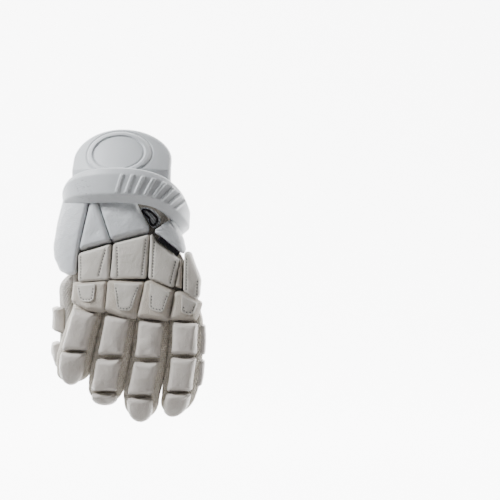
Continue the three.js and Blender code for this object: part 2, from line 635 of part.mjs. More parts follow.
const thumbSection = linerSection(THUMB_START);
const thumbRoot = new THREE.Vector3(
  thumbSection.centre - thumbSection.half + THUMB_INSET * THUMB_DEPTH,
  LINER_FRONT + THUMB_SET_BACK * thumbSection.depth,
  level(THUMB_START),
);
const thumb = {
  name: 'thumb',
  root: thumbRoot,
  length: THUMB_LENGTH,
  width: THUMB_WIDTH,
  depth: THUMB_DEPTH,
  sections: THUMB_SECTIONS,
  turn: THUMB_TURN,
  line: (s) => new THREE.Vector3(
    thumbRoot.x - THUMB_LENGTH * read(THUMB_LINE, 'along', 'out', Math.max(s, 0)),
    thumbRoot.y + THUMB_LENGTH * read(THUMB_LINE, 'along', 'back', Math.max(s, 0)),
    thumbRoot.z - THUMB_LENGTH * s,
  ),
};

// A fingertip pad's outline: two rounded corners above and a half ellipse below
function tipOutline(half, top, bottom) {
  const radius = PAD_CORNER;
  const spring = THREE.MathUtils.lerp(top, bottom, 0.4);
  const corner = (side) => [
    new THREE.Vector2(side * half, top - radius),
    new THREE.Vector2(side * (half - 0.3 * radius), top - 0.3 * radius),
    new THREE.Vector2(side * (half - radius), top),
  ];
  const arc = Array.from({ length: 8 }, (_, i) => {
    const angle = Math.PI * (1 + i / 7);
    return new THREE.Vector2(half * Math.cos(angle), spring + (spring - bottom) * Math.sin(angle));
  });
  return [...corner(1), ...corner(-1).reverse(), ...arc];
}

// A pad on a finger or the thumb, between two shares of its length
function limbPad(limb, { from, to, lift = 0 }, width, thickness, onSide = false) {
  const [top, bottom] = [limb.root.z - limb.length * from, limb.root.z - limb.length * to];
  const tip = to > 0.99;
  const half = width / 2;
  const outline = tip ? tipOutline(half, top, bottom)
    : roundedOutline(
      [[-half, top + lift * width], [half, top], [half, bottom], [-half, bottom]], PAD_CORNER, PAD_DRAW,
    );
  return padSolid({ outline, face: limbFace(limb, onSide), thickness, taper: tip ? TIP_TAPER : 0 });
}

// Assembly
const WHITE_LEATHER = { color: 0xe4e3e0, roughness: 0.5, metalness: 0 };
const NUBUCK = { color: 0xd9d5cd, roughness: 0.85, metalness: 0 };
const KNIT = { color: 0xbfb9ac, roughness: 0.9, metalness: 0 };
const FOAM = { color: 0xe6e8ea, roughness: 0.45, metalness: 0 };
const PALM = { color: 0xd2cdc4, roughness: 0.7, metalness: 0 };
const BLACK = { color: 0x17181a, roughness: 0.7, metalness: 0 };

const glove = new THREE.Group();

function add(name, solid, finish) {
  const { vertProperties, triVerts } = solid.getMesh();
  const geometry = new THREE.BufferGeometry();
  geometry.setAttribute('position', new THREE.BufferAttribute(new Float32Array(vertProperties), 3));
  geometry.setIndex(Array.from(triVerts));
  geometry.computeVertexNormals();
  const mesh = new THREE.Mesh(geometry, new THREE.MeshStandardMaterial(finish));
  mesh.name = name;
  glove.add(mesh);
}

// Space that each carrier takes, a gap larger than itself
const linerSpace = linerSolid(GAP);
const bandSpace = bandSolid(GAP);

// Cuff
const ring = emblemRing().intersect(capSolid(EMBLEM_RELIEF));
add('cuff_cap', capSolid().add(ring).subtract(bandSpace), FOAM);
add('cuff_band', bandRibs().reduce((sum, rib) => sum.add(rib), bandSolid()), FOAM);

// Liner and palm: one hollow body, parted at the side seam, with a hole for the thumb
const thumbHole = stallSolid(thumb, 0, SLEEVE_WALL);
const hollow = linerSolid(0).subtract(linerSolid(-LINER_WALL, 2 * LINER_WALL)).subtract(thumbHole);
function halfSpace(from, to) {
  const reach = 3 * HAND_LENGTH;
  const box = new THREE.BoxGeometry(reach, to - from, reach);
  box.translate(0, (from + to) / 2, level(0.5));
  return geometrySolid(box);
}
const far = 2 * WRIST_DEPTH;
add('back_liner', hollow.intersect(halfSpace(SIDE_SEAM - far, SIDE_SEAM - GAP / 2)), KNIT);
add('palm_leather', hollow.intersect(halfSpace(SIDE_SEAM + GAP / 2, SIDE_SEAM + far)), PALM);

// Pads on the back of the hand
for (const [name, corners] of Object.entries(WRIST_PADS)) {
  const pad = padSolid({ outline: handOutline(corners), face: handFace, thickness: PAD_THICKNESS });
  add(name, pad.subtract(linerSpace).subtract(bandSpace), WHITE_LEATHER);
}
for (const [name, corners] of Object.entries(METACARPAL_PADS)) {
  const pad = padSolid({ outline: handOutline(corners), face: handFace, thickness: PAD_THICKNESS });
  add(name, pad.subtract(linerSpace), WHITE_LEATHER);
}
const fingerSpaces = fingers.map((finger) => stallSolid(finger, GAP, 0));
for (const [i, [name, corners]] of Object.entries(KNUCKLE_PADS).entries()) {
  const outline = handOutline(corners);
  const build = (grow) => padSolid({ outline, face: handFace, thickness: PAD_THICKNESS, grow });
  add(name, build(0).subtract(linerSpace).subtract(fingerSpaces[i]), NUBUCK);
  const [patchName, patchCorners] = Object.entries(KNUCKLE_PATCHES)[i];
  const patch = padSolid({
    outline: handOutline(patchCorners, PAD_CORNER), face: handFace, crown: FLAT_CROWN,
    thickness: PAD_THICKNESS + GAP + PATCH_THICKNESS, from: PAD_THICKNESS / 2,
  });
  add(patchName, patch.subtract(build(GAP)), WHITE_LEATHER);
}

// Small pieces between the pads
const windowOutline = handOutline(WINDOW_OUTLINE, PAD_CORNER / 2);
const windowPanel = (grow) => padSolid({
  outline: windowOutline, face: handFace, thickness: WINDOW_THICKNESS, grow,
});
add('mesh_window', windowPanel(0).subtract(linerSpace).subtract(bandSpace), KNIT);
const tab = padSolid({
  outline: handOutline(TAB_OUTLINE, PAD_CORNER / 2), face: handFace, thickness: TAB_HEIGHT + TAB_THICKNESS,
  crown: TAB_CROWN, from: TAB_HEIGHT,
});
add('label_tab', tab, BLACK);
const wedge = padSolid({
  outline: handOutline(WEDGE_GUSSET_OUTLINE, 2), face: handFace, thickness: GUSSET_THICKNESS,
});
add('wedge_gusset', wedge.subtract(linerSpace), KNIT);

// Piping: a thin tube round the window panel's face
const windowCentre = windowOutline.reduce((sum, q) => sum.add(q), new THREE.Vector2())
  .divideScalar(windowOutline.length);
const pipingRings = windowOutline.map((p, i) => {
  const before = windowOutline[(i + windowOutline.length - 1) % windowOutline.length];
  const after = windowOutline[(i + 1) % windowOutline.length];
  const along = after.clone().sub(before).normalize();
  const on = p.clone().lerp(windowCentre, PIPING_INSET);
  const rise = handFace.height(on.x, on.y) + WINDOW_THICKNESS + PIPING_RADIUS + GAP;
  return Array.from({ length: 6 }, (_, k) => {
    const angle = (Math.PI * k) / 3;
    const aside = PIPING_RADIUS * Math.cos(angle);
    const up = rise + PIPING_RADIUS * Math.sin(angle);
    return handFace.place(on.x + along.y * aside, on.y - along.x * aside, up);
  });
});
add('window_piping', loft(pipingRings, 'joined').subtract(bandSpace).subtract(windowPanel(GAP)), BLACK);

// Fingers
fingers.forEach((finger, i) => {
  const stall = stallSolid(finger, 0, 0).subtract(stallSolid(finger, 0, SLEEVE_WALL)).subtract(linerSpace);
  add(`${finger.name}_stall`, stall, KNIT);
  finger.pads.forEach((row, k) => {
    const pad = limbPad(finger, row, FINGER_PAD_WIDTH, FINGER_PAD_THICKNESS);
    add(`${finger.name}_pad_${k + 1}`, pad.subtract(fingerSpaces[i]).subtract(linerSpace), WHITE_LEATHER);
  });
});
SIDE_PADS.forEach((row, k) => {
  const pad = limbPad(fingers[3], row, SIDE_PAD_WIDTH, SIDE_PAD_THICKNESS, true);
  add(`little_finger_side_pad_${k + 1}`, pad.subtract(fingerSpaces[3]), WHITE_LEATHER);
});

// Thumb
const thumbSpace = stallSolid(thumb, GAP, 0);
const thumbStall = stallSolid(thumb, 0, 0).subtract(stallSolid(thumb, 0, SLEEVE_WALL)).subtract(linerSpace);
add('thumb_stall', thumbStall, KNIT);
THUMB_PADS.forEach((row, k) => {
  const pad = limbPad(thumb, row, THUMB_PAD_WIDTH, THUMB_PAD_THICKNESS);
  add(`thumb_pad_${k + 1}`, pad.subtract(thumbSpace), WHITE_LEATHER);
});

// Closure strap
const thumbSidePadSpace = padSolid({
  outline: handOutline(WRIST_PADS.thumb_side_wrist_pad), face: handFace, thickness: PAD_THICKNESS, grow: GAP,
});
const strap = strapSolid().subtract(linerSpace).subtract(bandSpace).subtract(thumbSidePadSpace);
add('closure_strap', strap, BLACK);

export default glove;
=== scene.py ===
"""Looks of a left-hand lacrosse glove that hangs by its cuff cap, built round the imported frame.

Shapes are worked out in millimetres, +Z up, with the back of the hand towards -Y, and written in metres.
A place on a pad or a panel is (u, v, height): u across, v up and height out of the face that carries it.
"""

import bpy
import numpy as np
from bpy.props import FloatProperty, FloatVectorProperty, PointerProperty
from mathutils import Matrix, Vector


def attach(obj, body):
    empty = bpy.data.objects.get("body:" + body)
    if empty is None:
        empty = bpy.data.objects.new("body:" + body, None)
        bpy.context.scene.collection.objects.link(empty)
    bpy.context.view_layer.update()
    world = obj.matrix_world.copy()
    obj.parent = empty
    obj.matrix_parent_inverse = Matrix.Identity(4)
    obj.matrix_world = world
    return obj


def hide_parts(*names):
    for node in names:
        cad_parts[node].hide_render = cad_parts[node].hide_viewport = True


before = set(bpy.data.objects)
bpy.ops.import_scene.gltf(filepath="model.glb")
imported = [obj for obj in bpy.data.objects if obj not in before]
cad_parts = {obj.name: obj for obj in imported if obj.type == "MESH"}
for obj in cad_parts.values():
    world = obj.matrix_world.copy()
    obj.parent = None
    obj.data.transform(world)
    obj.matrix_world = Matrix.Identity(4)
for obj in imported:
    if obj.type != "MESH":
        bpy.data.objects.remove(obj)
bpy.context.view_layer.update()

bl_info = {
    "name": "Lacrosse Glove",
    "version": (1, 0, 0),
    "blender": (4, 5, 0),
    "location": "3D View > Sidebar > Glove",
    "description": "Builds the pads, stalls, liner and cuff of a lacrosse glove",
    "category": "Add Mesh",
}

MM = 0.001
SEED = 7

# Clearances and walls
GAP = 0.3
LINER_WALL = 2.0
STALL_WALL = 2.0

# Cuff
CAP_RISE = 48.5
CAP_TUCK = 13.0
CAP_WIDTH = 112.5
CAP_ARC = 36.0
CAP_THICKNESS = 9.0
CAP_LEAN = np.radians(29)
CAP_BOW = 18.0
EMBLEM_RADIUS = 36.0
EMBLEM_RISE = 25.5
EMBLEM_DROP = 29.5
EMBLEM_ASIDE = -1.7
BAND_HEIGHT = 39.0
BAND_THICKNESS = 14.0
BAND_WIDTH = 150.0
BAND_DEPTH = 110.0
BAND_OFFSET = 1.2
BAND_DROP = 46.0
RIB_COUNT = 8
RIB_PITCH = 8.5
RIB_WIDTH = 2.6
RIB_LENGTH = 20.0
RIB_TILT = np.radians(14)
RIB_START = 3.0
RIB_LIFT = 1.5
STRAP_WIDTH = 21.0
STRAP_THICKNESS = 2.2
STRAP_STANDOFF = 9.0

# Hand
FINGER_WIDTH = 34.5
FINGER_GAP = 3.0
FINGER_DEPTH = 26.0
FINGER_LENGTH = 119.5
HAND_LENGTH = 126.0
HAND_WIDTH = 4 * FINGER_WIDTH + 3 * FINGER_GAP
HAND_OFFSET = 9.7
ROOT_OFFSET = 8.0
ROOT_SLANT = 12.5
WRIST_DEPTH = 62.0
SIDE_ROLL = 12.0
FINGER_CURL = 10.0
LIMB_ROLL = 0.42

# Padding
PAD_THICKNESS = 15.0
PAD_TUCK = 1.0
PAD_CORNER = 3.0
PAD_SWELL = 0.9
FINGER_PAD_THICKNESS = 13.0
FINGER_PAD_WIDTH = 28.5
TIP_TAPER = 0.35
PATCH_THICKNESS = 1.4
TAB_THICKNESS = 1.8
TAB_HEIGHT = 11.0
WINDOW_THICKNESS = 6.0
PIPING_RADIUS = 1.1
PIPING_INSET = 3.0
GUSSET_THICKNESS = 8.0

# Thumb
THUMB_LENGTH = 117.0
THUMB_WIDTH = 31.0
THUMB_DEPTH = 27.0
THUMB_TURN = np.radians(-62)
THUMB_START = 0.6
THUMB_INSET = 0.5
THUMB_SET_BACK = 0.66
THUMB_PAD_WIDTH = 23.0
THUMB_PAD_THICKNESS = 11.0
SIDE_PAD_WIDTH = 18.0
SIDE_PAD_THICKNESS = 4.0

# Levels and planes that follow from the sizes above
BAND_LEVEL = -CAP_RISE - BAND_HEIGHT / 2
CUFF_EDGE = -CAP_RISE - BAND_HEIGHT
BAND_FRONT = -(CAP_RISE * np.tan(CAP_LEAN) + CAP_THICKNESS / 2 + GAP)
BAND_CENTRE = BAND_FRONT + BAND_DEPTH / 2 - BAND_THICKNESS
LINER_FRONT = BAND_FRONT + PAD_THICKNESS - PAD_TUCK
SIDE_SEAM = LINER_FRONT + FINGER_DEPTH / 2

# Liner sections from the mouth to the finger roots: share of the hand's length below the band, then centre
# and width as shares of the hand's width, taper from wrist to finger depth, super-ellipse exponent, and
# share of slant
LINER = np.array([
    (-0.13, -0.06, 0.66, 0, 2.4, 0), (0.15, -0.085, 0.76, 0.1, 2.6, 0), (0.4, -0.06, 0.85, 0.4, 2.8, 0),
    (0.65, 0.01, 0.94, 0.68, 3, 0.2), (0.85, 0.045, 0.97, 0.9, 3.4, 0.7),
    (1, ROOT_OFFSET / HAND_WIDTH, 1, 1, 4, 1),
])

# The band's run round the cuff: degrees from the front, then sink, height and thickness as shares
BAND_RUN = np.array([
    (-88, 0.4, 0.18, 0.42), (-72, 0.29, 0.4, 0.82), (-52, 0.12, 0.74, 1), (-28, 0.02, 0.95, 1), (0, 0, 1, 1),
    (20, 0.03, 1, 1), (38, 0.12, 0.95, 1), (55, 0.31, 0.87, 1), (72, 0.57, 0.79, 1), (90, 0.8, 0.73, 1),
    (108, 0.92, 0.64, 0.9), (118, 0.95, 0.42, 0.5),
])
# Corners of its section: out is a share of its thickness, up a share of its height
BAND_SECTION = [(0, -0.46), (0.4, -0.5), (0.96, -0.26), (1, 0.3), (0.8, 0.47), (0.35, 0.5), (0, 0.44)]

# The strap's run round the palm side: degrees, standoff share, fall as a share of its width
STRAP_RUN = np.array([
    (66, 0.1, 0.62), (100, 0.1, 0.55), (150, 0.1, 0.4), (200, 0.1, 0.3), (240, 0.3, 0.25), (272, 0.85, 0.25),
    (288, 1, 0.28),
])

# Corners of the pads on the back of the hand: across is a share of the hand's width, down of its length
WRIST_PADS = {
    "thumb_side_wrist_pad": [
        (-0.54, -0.1), (-0.275, -0.1), (-0.375, 0.4), (-0.405, 0.625), (-0.47, 0.64), (-0.548, 0.6),
        (-0.603, 0.48), (-0.611, 0.37), (-0.581, 0.18),
    ],
    "wedge_pad": [(-0.262, -0.1), (-0.25, -0.1), (-0.128, 0.34), (-0.366, 0.415)],
    "hood_pad": [(-0.24, -0.1), (0.02, -0.1), (0.154, 0.2), (0.147, 0.262), (-0.108, 0.343)],
    "little_finger_side_wrist_pad": [
        (0.204, 0.245), (0.316, 0.14), (0.348, 0.158), (0.408, 0.31), (0.428, 0.405), (0.412, 0.44),
    ],
}
WINDOW_OUTLINE = [
    (0.09, 0.035), (0.14, 0.03), (0.2, 0.06), (0.243, 0.13), (0.238, 0.175), (0.2, 0.222), (0.175, 0.2),
]
TAB_OUTLINE = [(0.247, 0.2835), (0.393, 0.4315), (0.376, 0.4685), (0.23, 0.3235)]
METACARPAL_PADS = {
    "metacarpal_pad_1": [(-0.37, 0.45), (-0.126, 0.365), (-0.138, 0.668), (-0.374, 0.69)],
    "metacarpal_pad_2": [(-0.097, 0.363), (0.164, 0.28), (0.138, 0.655), (-0.122, 0.662)],
    "metacarpal_pad_3": [(0.18, 0.27), (0.213, 0.345), (0.385, 0.505), (0.343, 0.738), (0.168, 0.66)],
    "metacarpal_pad_4": [
        (0.43, 0.438), (0.468, 0.435), (0.545, 0.68), (0.539, 0.82), (0.513, 0.85), (0.43, 0.775),
    ],
}
# Stitched lines on those pads, from top to bottom
METACARPAL_LINES = {
    "metacarpal_pad_1": [[(-0.35, 0.46), (-0.352, 0.67)], [(-0.156, 0.4), (-0.212, 0.645)]],
    "metacarpal_pad_2": [[(-0.071, 0.375), (-0.064, 0.645)], [(0.146, 0.31), (0.117, 0.64)]],
    "metacarpal_pad_3": [[(0.207, 0.33), (0.195, 0.655)], [(0.365, 0.505), (0.326, 0.712)]],
    "metacarpal_pad_4": [[(0.443, 0.48), (0.447, 0.77)], [(0.527, 0.68), (0.522, 0.82)]],
}
WEDGE_GUSSET_OUTLINE = [(0.394, 0.49), (0.41, 0.51), (0.412, 0.755), (0.358, 0.738)]
KNUCKLE_PADS = {
    "knuckle_pad_1": [(-0.42, 0.71), (-0.153, 0.688), (-0.174, 0.955), (-0.303, 0.953), (-0.441, 0.88)],
    "knuckle_pad_2": [(-0.142, 0.68), (0.127, 0.7), (0.062, 1.015), (-0.05, 1), (-0.164, 0.948)],
    "knuckle_pad_3": [(0.142, 0.69), (0.184, 0.683), (0.356, 0.782), (0.31, 1.035), (0.078, 1.005)],
    "knuckle_pad_4": [(0.368, 0.785), (0.41, 0.785), (0.555, 0.888), (0.522, 1.045), (0.326, 1.03)],
}
KNUCKLE_PATCHES = {
    "knuckle_patch_1": [(-0.385, 0.718), (-0.232, 0.706), (-0.246, 0.866), (-0.363, 0.868)],
    "knuckle_patch_2": [(-0.093, 0.696), (0.104, 0.711), (0.038, 0.95), (-0.069, 0.94)],
    "knuckle_patch_3": [(0.18, 0.7), (0.33, 0.784), (0.28, 0.965), (0.17, 0.935)],
    "knuckle_patch_4": [(0.415, 0.801), (0.532, 0.885), (0.5, 0.99), (0.412, 0.975)],
}

# Fingers from the thumb side: name, share of the longest finger's length, girth as a share of a stall's
# width, sideways drift at shares of its own length, and for each pad its span and how far its upper
# thumb-side corner is raised, a share of its width
FINGERS = [
    ("index_finger", 0.703, 0.99, [(0, 0), (0.54, -0.163), (1, -0.243)],
     [(0.033, 0.53, 0.25), (0.55, 1.02, 0)]),
    ("middle_finger", 0.869, 1.04, [(0, 0), (0.44, -0.093), (0.85, -0.178), (1, -0.18)],
     [(0.04, 0.447, 0.14), (0.483, 0.853, 0), (0.875, 1.02, 0)]),
    ("ring_finger", 1, 1.02, [(0, 0), (0.39, -0.046), (0.74, -0.119), (1, -0.13)],
     [(0.05, 0.388, 0.16), (0.42, 0.742, 0), (0.77, 1.02, 0)]),
    ("little_finger", 0.925, 1, [(0, 0), (0.36, -0.015), (0.75, -0.072), (1, -0.143)],
     [(0.03, 0.355, 0.07), (0.382, 0.737, 0), (0.758, 1.02, 0)]),
]
SIDE_PADS = [(0.06, 0.37, 0), (0.43, 0.7, 0)]
THUMB_OUT = [(0, 0), (0.12, 0.11), (0.3, 0.155), (0.5, 0.16), (0.75, 0.192), (1, 0.232)]
THUMB_BACK = [(0, 0), (0.12, 0.06), (0.3, 0.13), (0.5, 0.18), (0.75, 0.19), (1, 0.19)]
THUMB_PADS = [(0.37, 0.64, 0), (0.73, 1.0, 0)]
# Sections of the stalls: share of the length, then width and depth as shares
STALL_SECTIONS = np.array([
    (-0.15, 0.82, 0.82), (0, 1.04, 1), (0.36, 1.13, 0.98), (0.76, 1.15, 0.93), (0.96, 0.7, 0.6),
])
THUMB_SECTIONS = np.array([
    (-0.15, 0.82, 0.82), (0.02, 1, 1), (0.14, 1.06, 1.2), (0.34, 1.06, 1.1), (0.8, 0.98, 0.92),
    (0.96, 0.6, 0.6),
])
STALL_SQUARE = 3.0


def read(rows, at):
    """Hermite curve through a table's rows of (key, value): slopes are taken between the neighbours."""
    keys, values = np.asarray(rows, float).T
    at = np.asarray(at, float)
    ids = np.arange(len(keys))
    before, after = np.maximum(ids - 1, 0), np.minimum(ids + 1, len(keys) - 1)
    slopes = (values[after] - values[before]) / (keys[after] - keys[before])
    i = np.clip(np.searchsorted(keys, at) - 1, 0, len(keys) - 2)
    step = keys[i + 1] - keys[i]
    t = np.clip((at - keys[i]) / step, 0, 1)
    over = at - keys[i] - t * step
    t2, t3 = t * t, t * t * t
    inside = ((2 * t3 - 3 * t2 + 1) * values[i] + (t3 - 2 * t2 + t) * step * slopes[i]
              + (3 * t2 - 2 * t3) * values[i + 1] + (t3 - t2) * step * slopes[i + 1])
    return inside + over * np.where(over < 0, slopes[i], slopes[i + 1])


def smoothstep(low, high, x):
    """0 below low, 1 above high, and 3t^2 - 2t^3 between them."""
    t = np.clip((x - low) / (high - low), 0, 1)
    return t * t * (3 - 2 * t)


def across(share):
    return HAND_OFFSET + np.asarray(share) * HAND_WIDTH


def level(share):
    return CUFF_EDGE - np.asarray(share) * HAND_LENGTH


def hand_points(corners):
    """Corner shares turned into (u, v) in millimetres."""
    shares = np.asarray(corners, float)
    return np.column_stack([across(shares[:, 0]), level(shares[:, 1])])


def ripple(u, v, seed, size, waves=6):
    """Smooth noise between about -1 and 1: the mean of cosine waves of random direction and phase."""
    random = np.random.default_rng(SEED + seed)
    total = np.zeros(np.broadcast(u, v).shape)
    for _ in range(waves):
        angle, phase = random.uniform(0, 2 * np.pi, 2)
        stretch = 2 * np.pi / (size * random.uniform(0.7, 1.5))
        total = total + np.cos((u * np.cos(angle) + v * np.sin(angle)) * stretch + phase)
    return total * 1.6 / waves


def resample(points, count, closed=True):
    """The same path with count points at even steps of its length."""
    path = np.vstack([points, points[:1]]) if closed else np.asarray(points, float)
    run = np.concatenate([[0], np.cumsum(np.linalg.norm(np.diff(path, axis=0), axis=1))])
    at = np.linspace(0, run[-1], count, endpoint=not closed)
    return np.column_stack([np.interp(at, run, path[:, k]) for k in range(path.shape[1])])


def rounded_outline(corners, radius, count, bow=0.0):
    """A closed outline: each corner is a quadratic curve between points radius away from it on its two edges,
    and each edge bows inwards by bow at its middle, as a parabola."""
    corners = np.asarray(corners, float)
    middle = corners.mean(axis=0)
    radii = np.broadcast_to(radius, len(corners))
    t = np.linspace(0, 1, 9)[:, None]
    s = np.linspace(0, 1, 15)[1:-1, None]
    runs = []
    for i, p in enumerate(corners):
        q, r = corners[i - 1], corners[(i + 1) % len(corners)]
        a = p + (q - p) * min(radii[i] / np.linalg.norm(q - p), 0.42)
        b = p + (r - p) * min(radii[i] / np.linalg.norm(r - p), 0.42)
        runs.append((1 - t) ** 2 * a + 2 * t * (1 - t) * p + t ** 2 * b)
        e = r + (p - r) * min(radii[(i + 1) % len(corners)] / np.linalg.norm(p - r), 0.42)
        edge = b + (e - b) * s
        normal = np.array([-(e - b)[1], (e - b)[0]]) / np.linalg.norm(e - b)
        normal *= np.sign(normal @ (middle - (b + e) / 2))
        runs.append(edge + normal * bow * 4 * s * (1 - s) * min(np.linalg.norm(e - b) / 20, 1))
    return resample(np.vstack(runs), count)


def grown(outline, by):
    """The outline moved outwards along its normals, which the soft leather swells to."""
    along = np.roll(outline, -1, axis=0) - np.roll(outline, 1, axis=0)
    size = np.maximum(np.linalg.norm(along, axis=1), 1e-9)
    normal = np.column_stack([along[:, 1], -along[:, 0]]) / size[:, None]
    normal *= np.sign(((outline - outline.mean(axis=0)) * normal).sum())
    return outline + normal * by


def edge_distance(outline, u, v):
    """Distance from each (u, v) to the closed outline, as the least over its segments."""
    a = outline
    ab = np.roll(outline, -1, axis=0) - a
    points = np.stack([np.ravel(u), np.ravel(v)], axis=1)
    best = np.full(len(points), np.inf)
    for start in range(0, len(points), 4096):
        p = points[start:start + 4096, None, :] - a[None]
        t = np.clip((p * ab).sum(-1) / np.maximum((ab * ab).sum(-1), 1e-12), 0, 1)
        best[start:start + 4096] = np.linalg.norm(p - t[..., None] * ab, axis=-1).min(axis=1)
    return best.reshape(np.shape(u))


def line_distance(path, u, v):
    """Distance from each (u, v) to an open path of straight stretches."""
    best = np.full(np.shape(u), np.inf)
    for (ax, ay), (bx, by) in zip(path[:-1], path[1:]):
        dx, dy = bx - ax, by - ay
        t = np.clip(((u - ax) * dx + (v - ay) * dy) / (dx * dx + dy * dy), 0, 1)
        best = np.minimum(best, np.hypot(u - ax - t * dx, v - ay - t * dy))
    return best


# Faces that pads lie on
def liner_section(down):
    """Centre, half width, depth, exponent and slant of the liner at a share of the hand's length."""
    columns = [read(LINER[:, [0, k]], down) for k in range(1, 6)]
    depth = WRIST_DEPTH + (FINGER_DEPTH - WRIST_DEPTH) * columns[2]
    return across(columns[0]), columns[1] * HAND_WIDTH / 2, depth, columns[3], columns[4]


class HandFace:
    """The liner's front: flat in the middle, rolling back as the cube of the distance from its centre."""

    def height(self, u, v):
        centre, half, _, _, _ = liner_section((CUFF_EDGE - v) / HAND_LENGTH)
        return -LINER_FRONT - SIDE_ROLL * np.abs((u - centre) / half) ** 3

    def place(self, u, v, height):
        return np.stack([u, -height, v], axis=-1)


class CapFace(HandFace):
    """The back of the cuff cap: leaning back, bowed as a parabola across."""

    def height(self, u, v):
        fall = np.minimum(-v, CAP_RISE) * np.tan(CAP_LEAN)
        return fall - CAP_THICKNESS / 2 - CAP_BOW * (2 * u / CAP_WIDTH) ** 2


class Limb:
    """A finger or the thumb: a centre line that drifts aside and back, and a stall round it."""

    def __init__(self, name, root, length, out, back, size, sections, spans, turn=0.0):
        self.name, self.root, self.length = name, np.array(root, float), length
        self.out, self.back, self.sections, self.spans, self.turn = out, back, sections, spans, turn
        self.width, self.depth = size

    def half_width(self, share):
        return read(self.sections[:, [0, 1]], share) * self.width / 2

    def half_depth(self, share):
        return read(self.sections[:, [0, 2]], share) * self.depth / 2

    def line(self, share):
        late = np.maximum(share, 0)
        return np.stack([
            self.root[0] + self.length * self.out(late),
            self.root[1] + self.back(late),
            self.root[2] - self.length * share,
        ], axis=-1)

    def share(self, v):
        return (self.root[2] - v) / self.length

    def local(self, u, out, share):
        """A point u aside of the centre line and out from it, turned as the limb is."""
        c = self.line(share)
        x = c[..., 0] + u * np.cos(self.turn) + out * np.sin(self.turn)
        y = c[..., 1] + u * np.sin(self.turn) - out * np.cos(self.turn)
        return np.stack([x, y, c[..., 2] + 0 * x], axis=-1)


class LimbFace:
    """The back of a limb, or its outer side: its half depth less the cube of the distance from the middle."""

    def __init__(self, limb, on_side=False):
        self.limb, self.on_side = limb, on_side

    def height(self, u, v):
        share = np.minimum(self.limb.share(v), 1)
        width, depth = self.limb.half_width(share), self.limb.half_depth(share)
        reach, spread = (width, self.limb.depth / 2) if self.on_side else (depth, self.limb.width / 2)
        return reach * (1 - LIMB_ROLL * np.minimum(np.abs(u) / spread, 1) ** 3)

    def place(self, u, v, height):
        share = self.limb.share(v)
        if self.on_side:
            return self.limb.local(height, -u, share)
        return self.limb.local(u, height, share)


def make_limbs():
    fingers = []
    for i, (name, reach, girth, drift, spans) in enumerate(FINGERS):
        x = across(ROOT_OFFSET / HAND_WIDTH) + (i - (len(FINGERS) - 1) / 2) * (FINGER_WIDTH + FINGER_GAP)
        slant = -ROOT_SLANT * (x - across(ROOT_OFFSET / HAND_WIDTH)) / HAND_WIDTH
        root = (x, LINER_FRONT + FINGER_DEPTH / 2, level(1) + slant)
        size = (FINGER_WIDTH * girth, FINGER_DEPTH)
        fingers.append(Limb(name, root, FINGER_LENGTH * reach, lambda s, d=drift: read(d, s),
                            lambda s: FINGER_CURL * s ** 2, size, STALL_SECTIONS, spans))
    centre, half, depth, _, _ = liner_section(THUMB_START)
    root = (centre - half + THUMB_INSET * THUMB_DEPTH, LINER_FRONT + THUMB_SET_BACK * depth,
            level(THUMB_START))
    thumb = Limb("thumb", root, THUMB_LENGTH, lambda s: -read(THUMB_OUT, s),
                 lambda s: THUMB_LENGTH * read(THUMB_BACK, s), (THUMB_WIDTH, THUMB_DEPTH), THUMB_SECTIONS,
                 THUMB_PADS, THUMB_TURN)
    return fingers, thumb


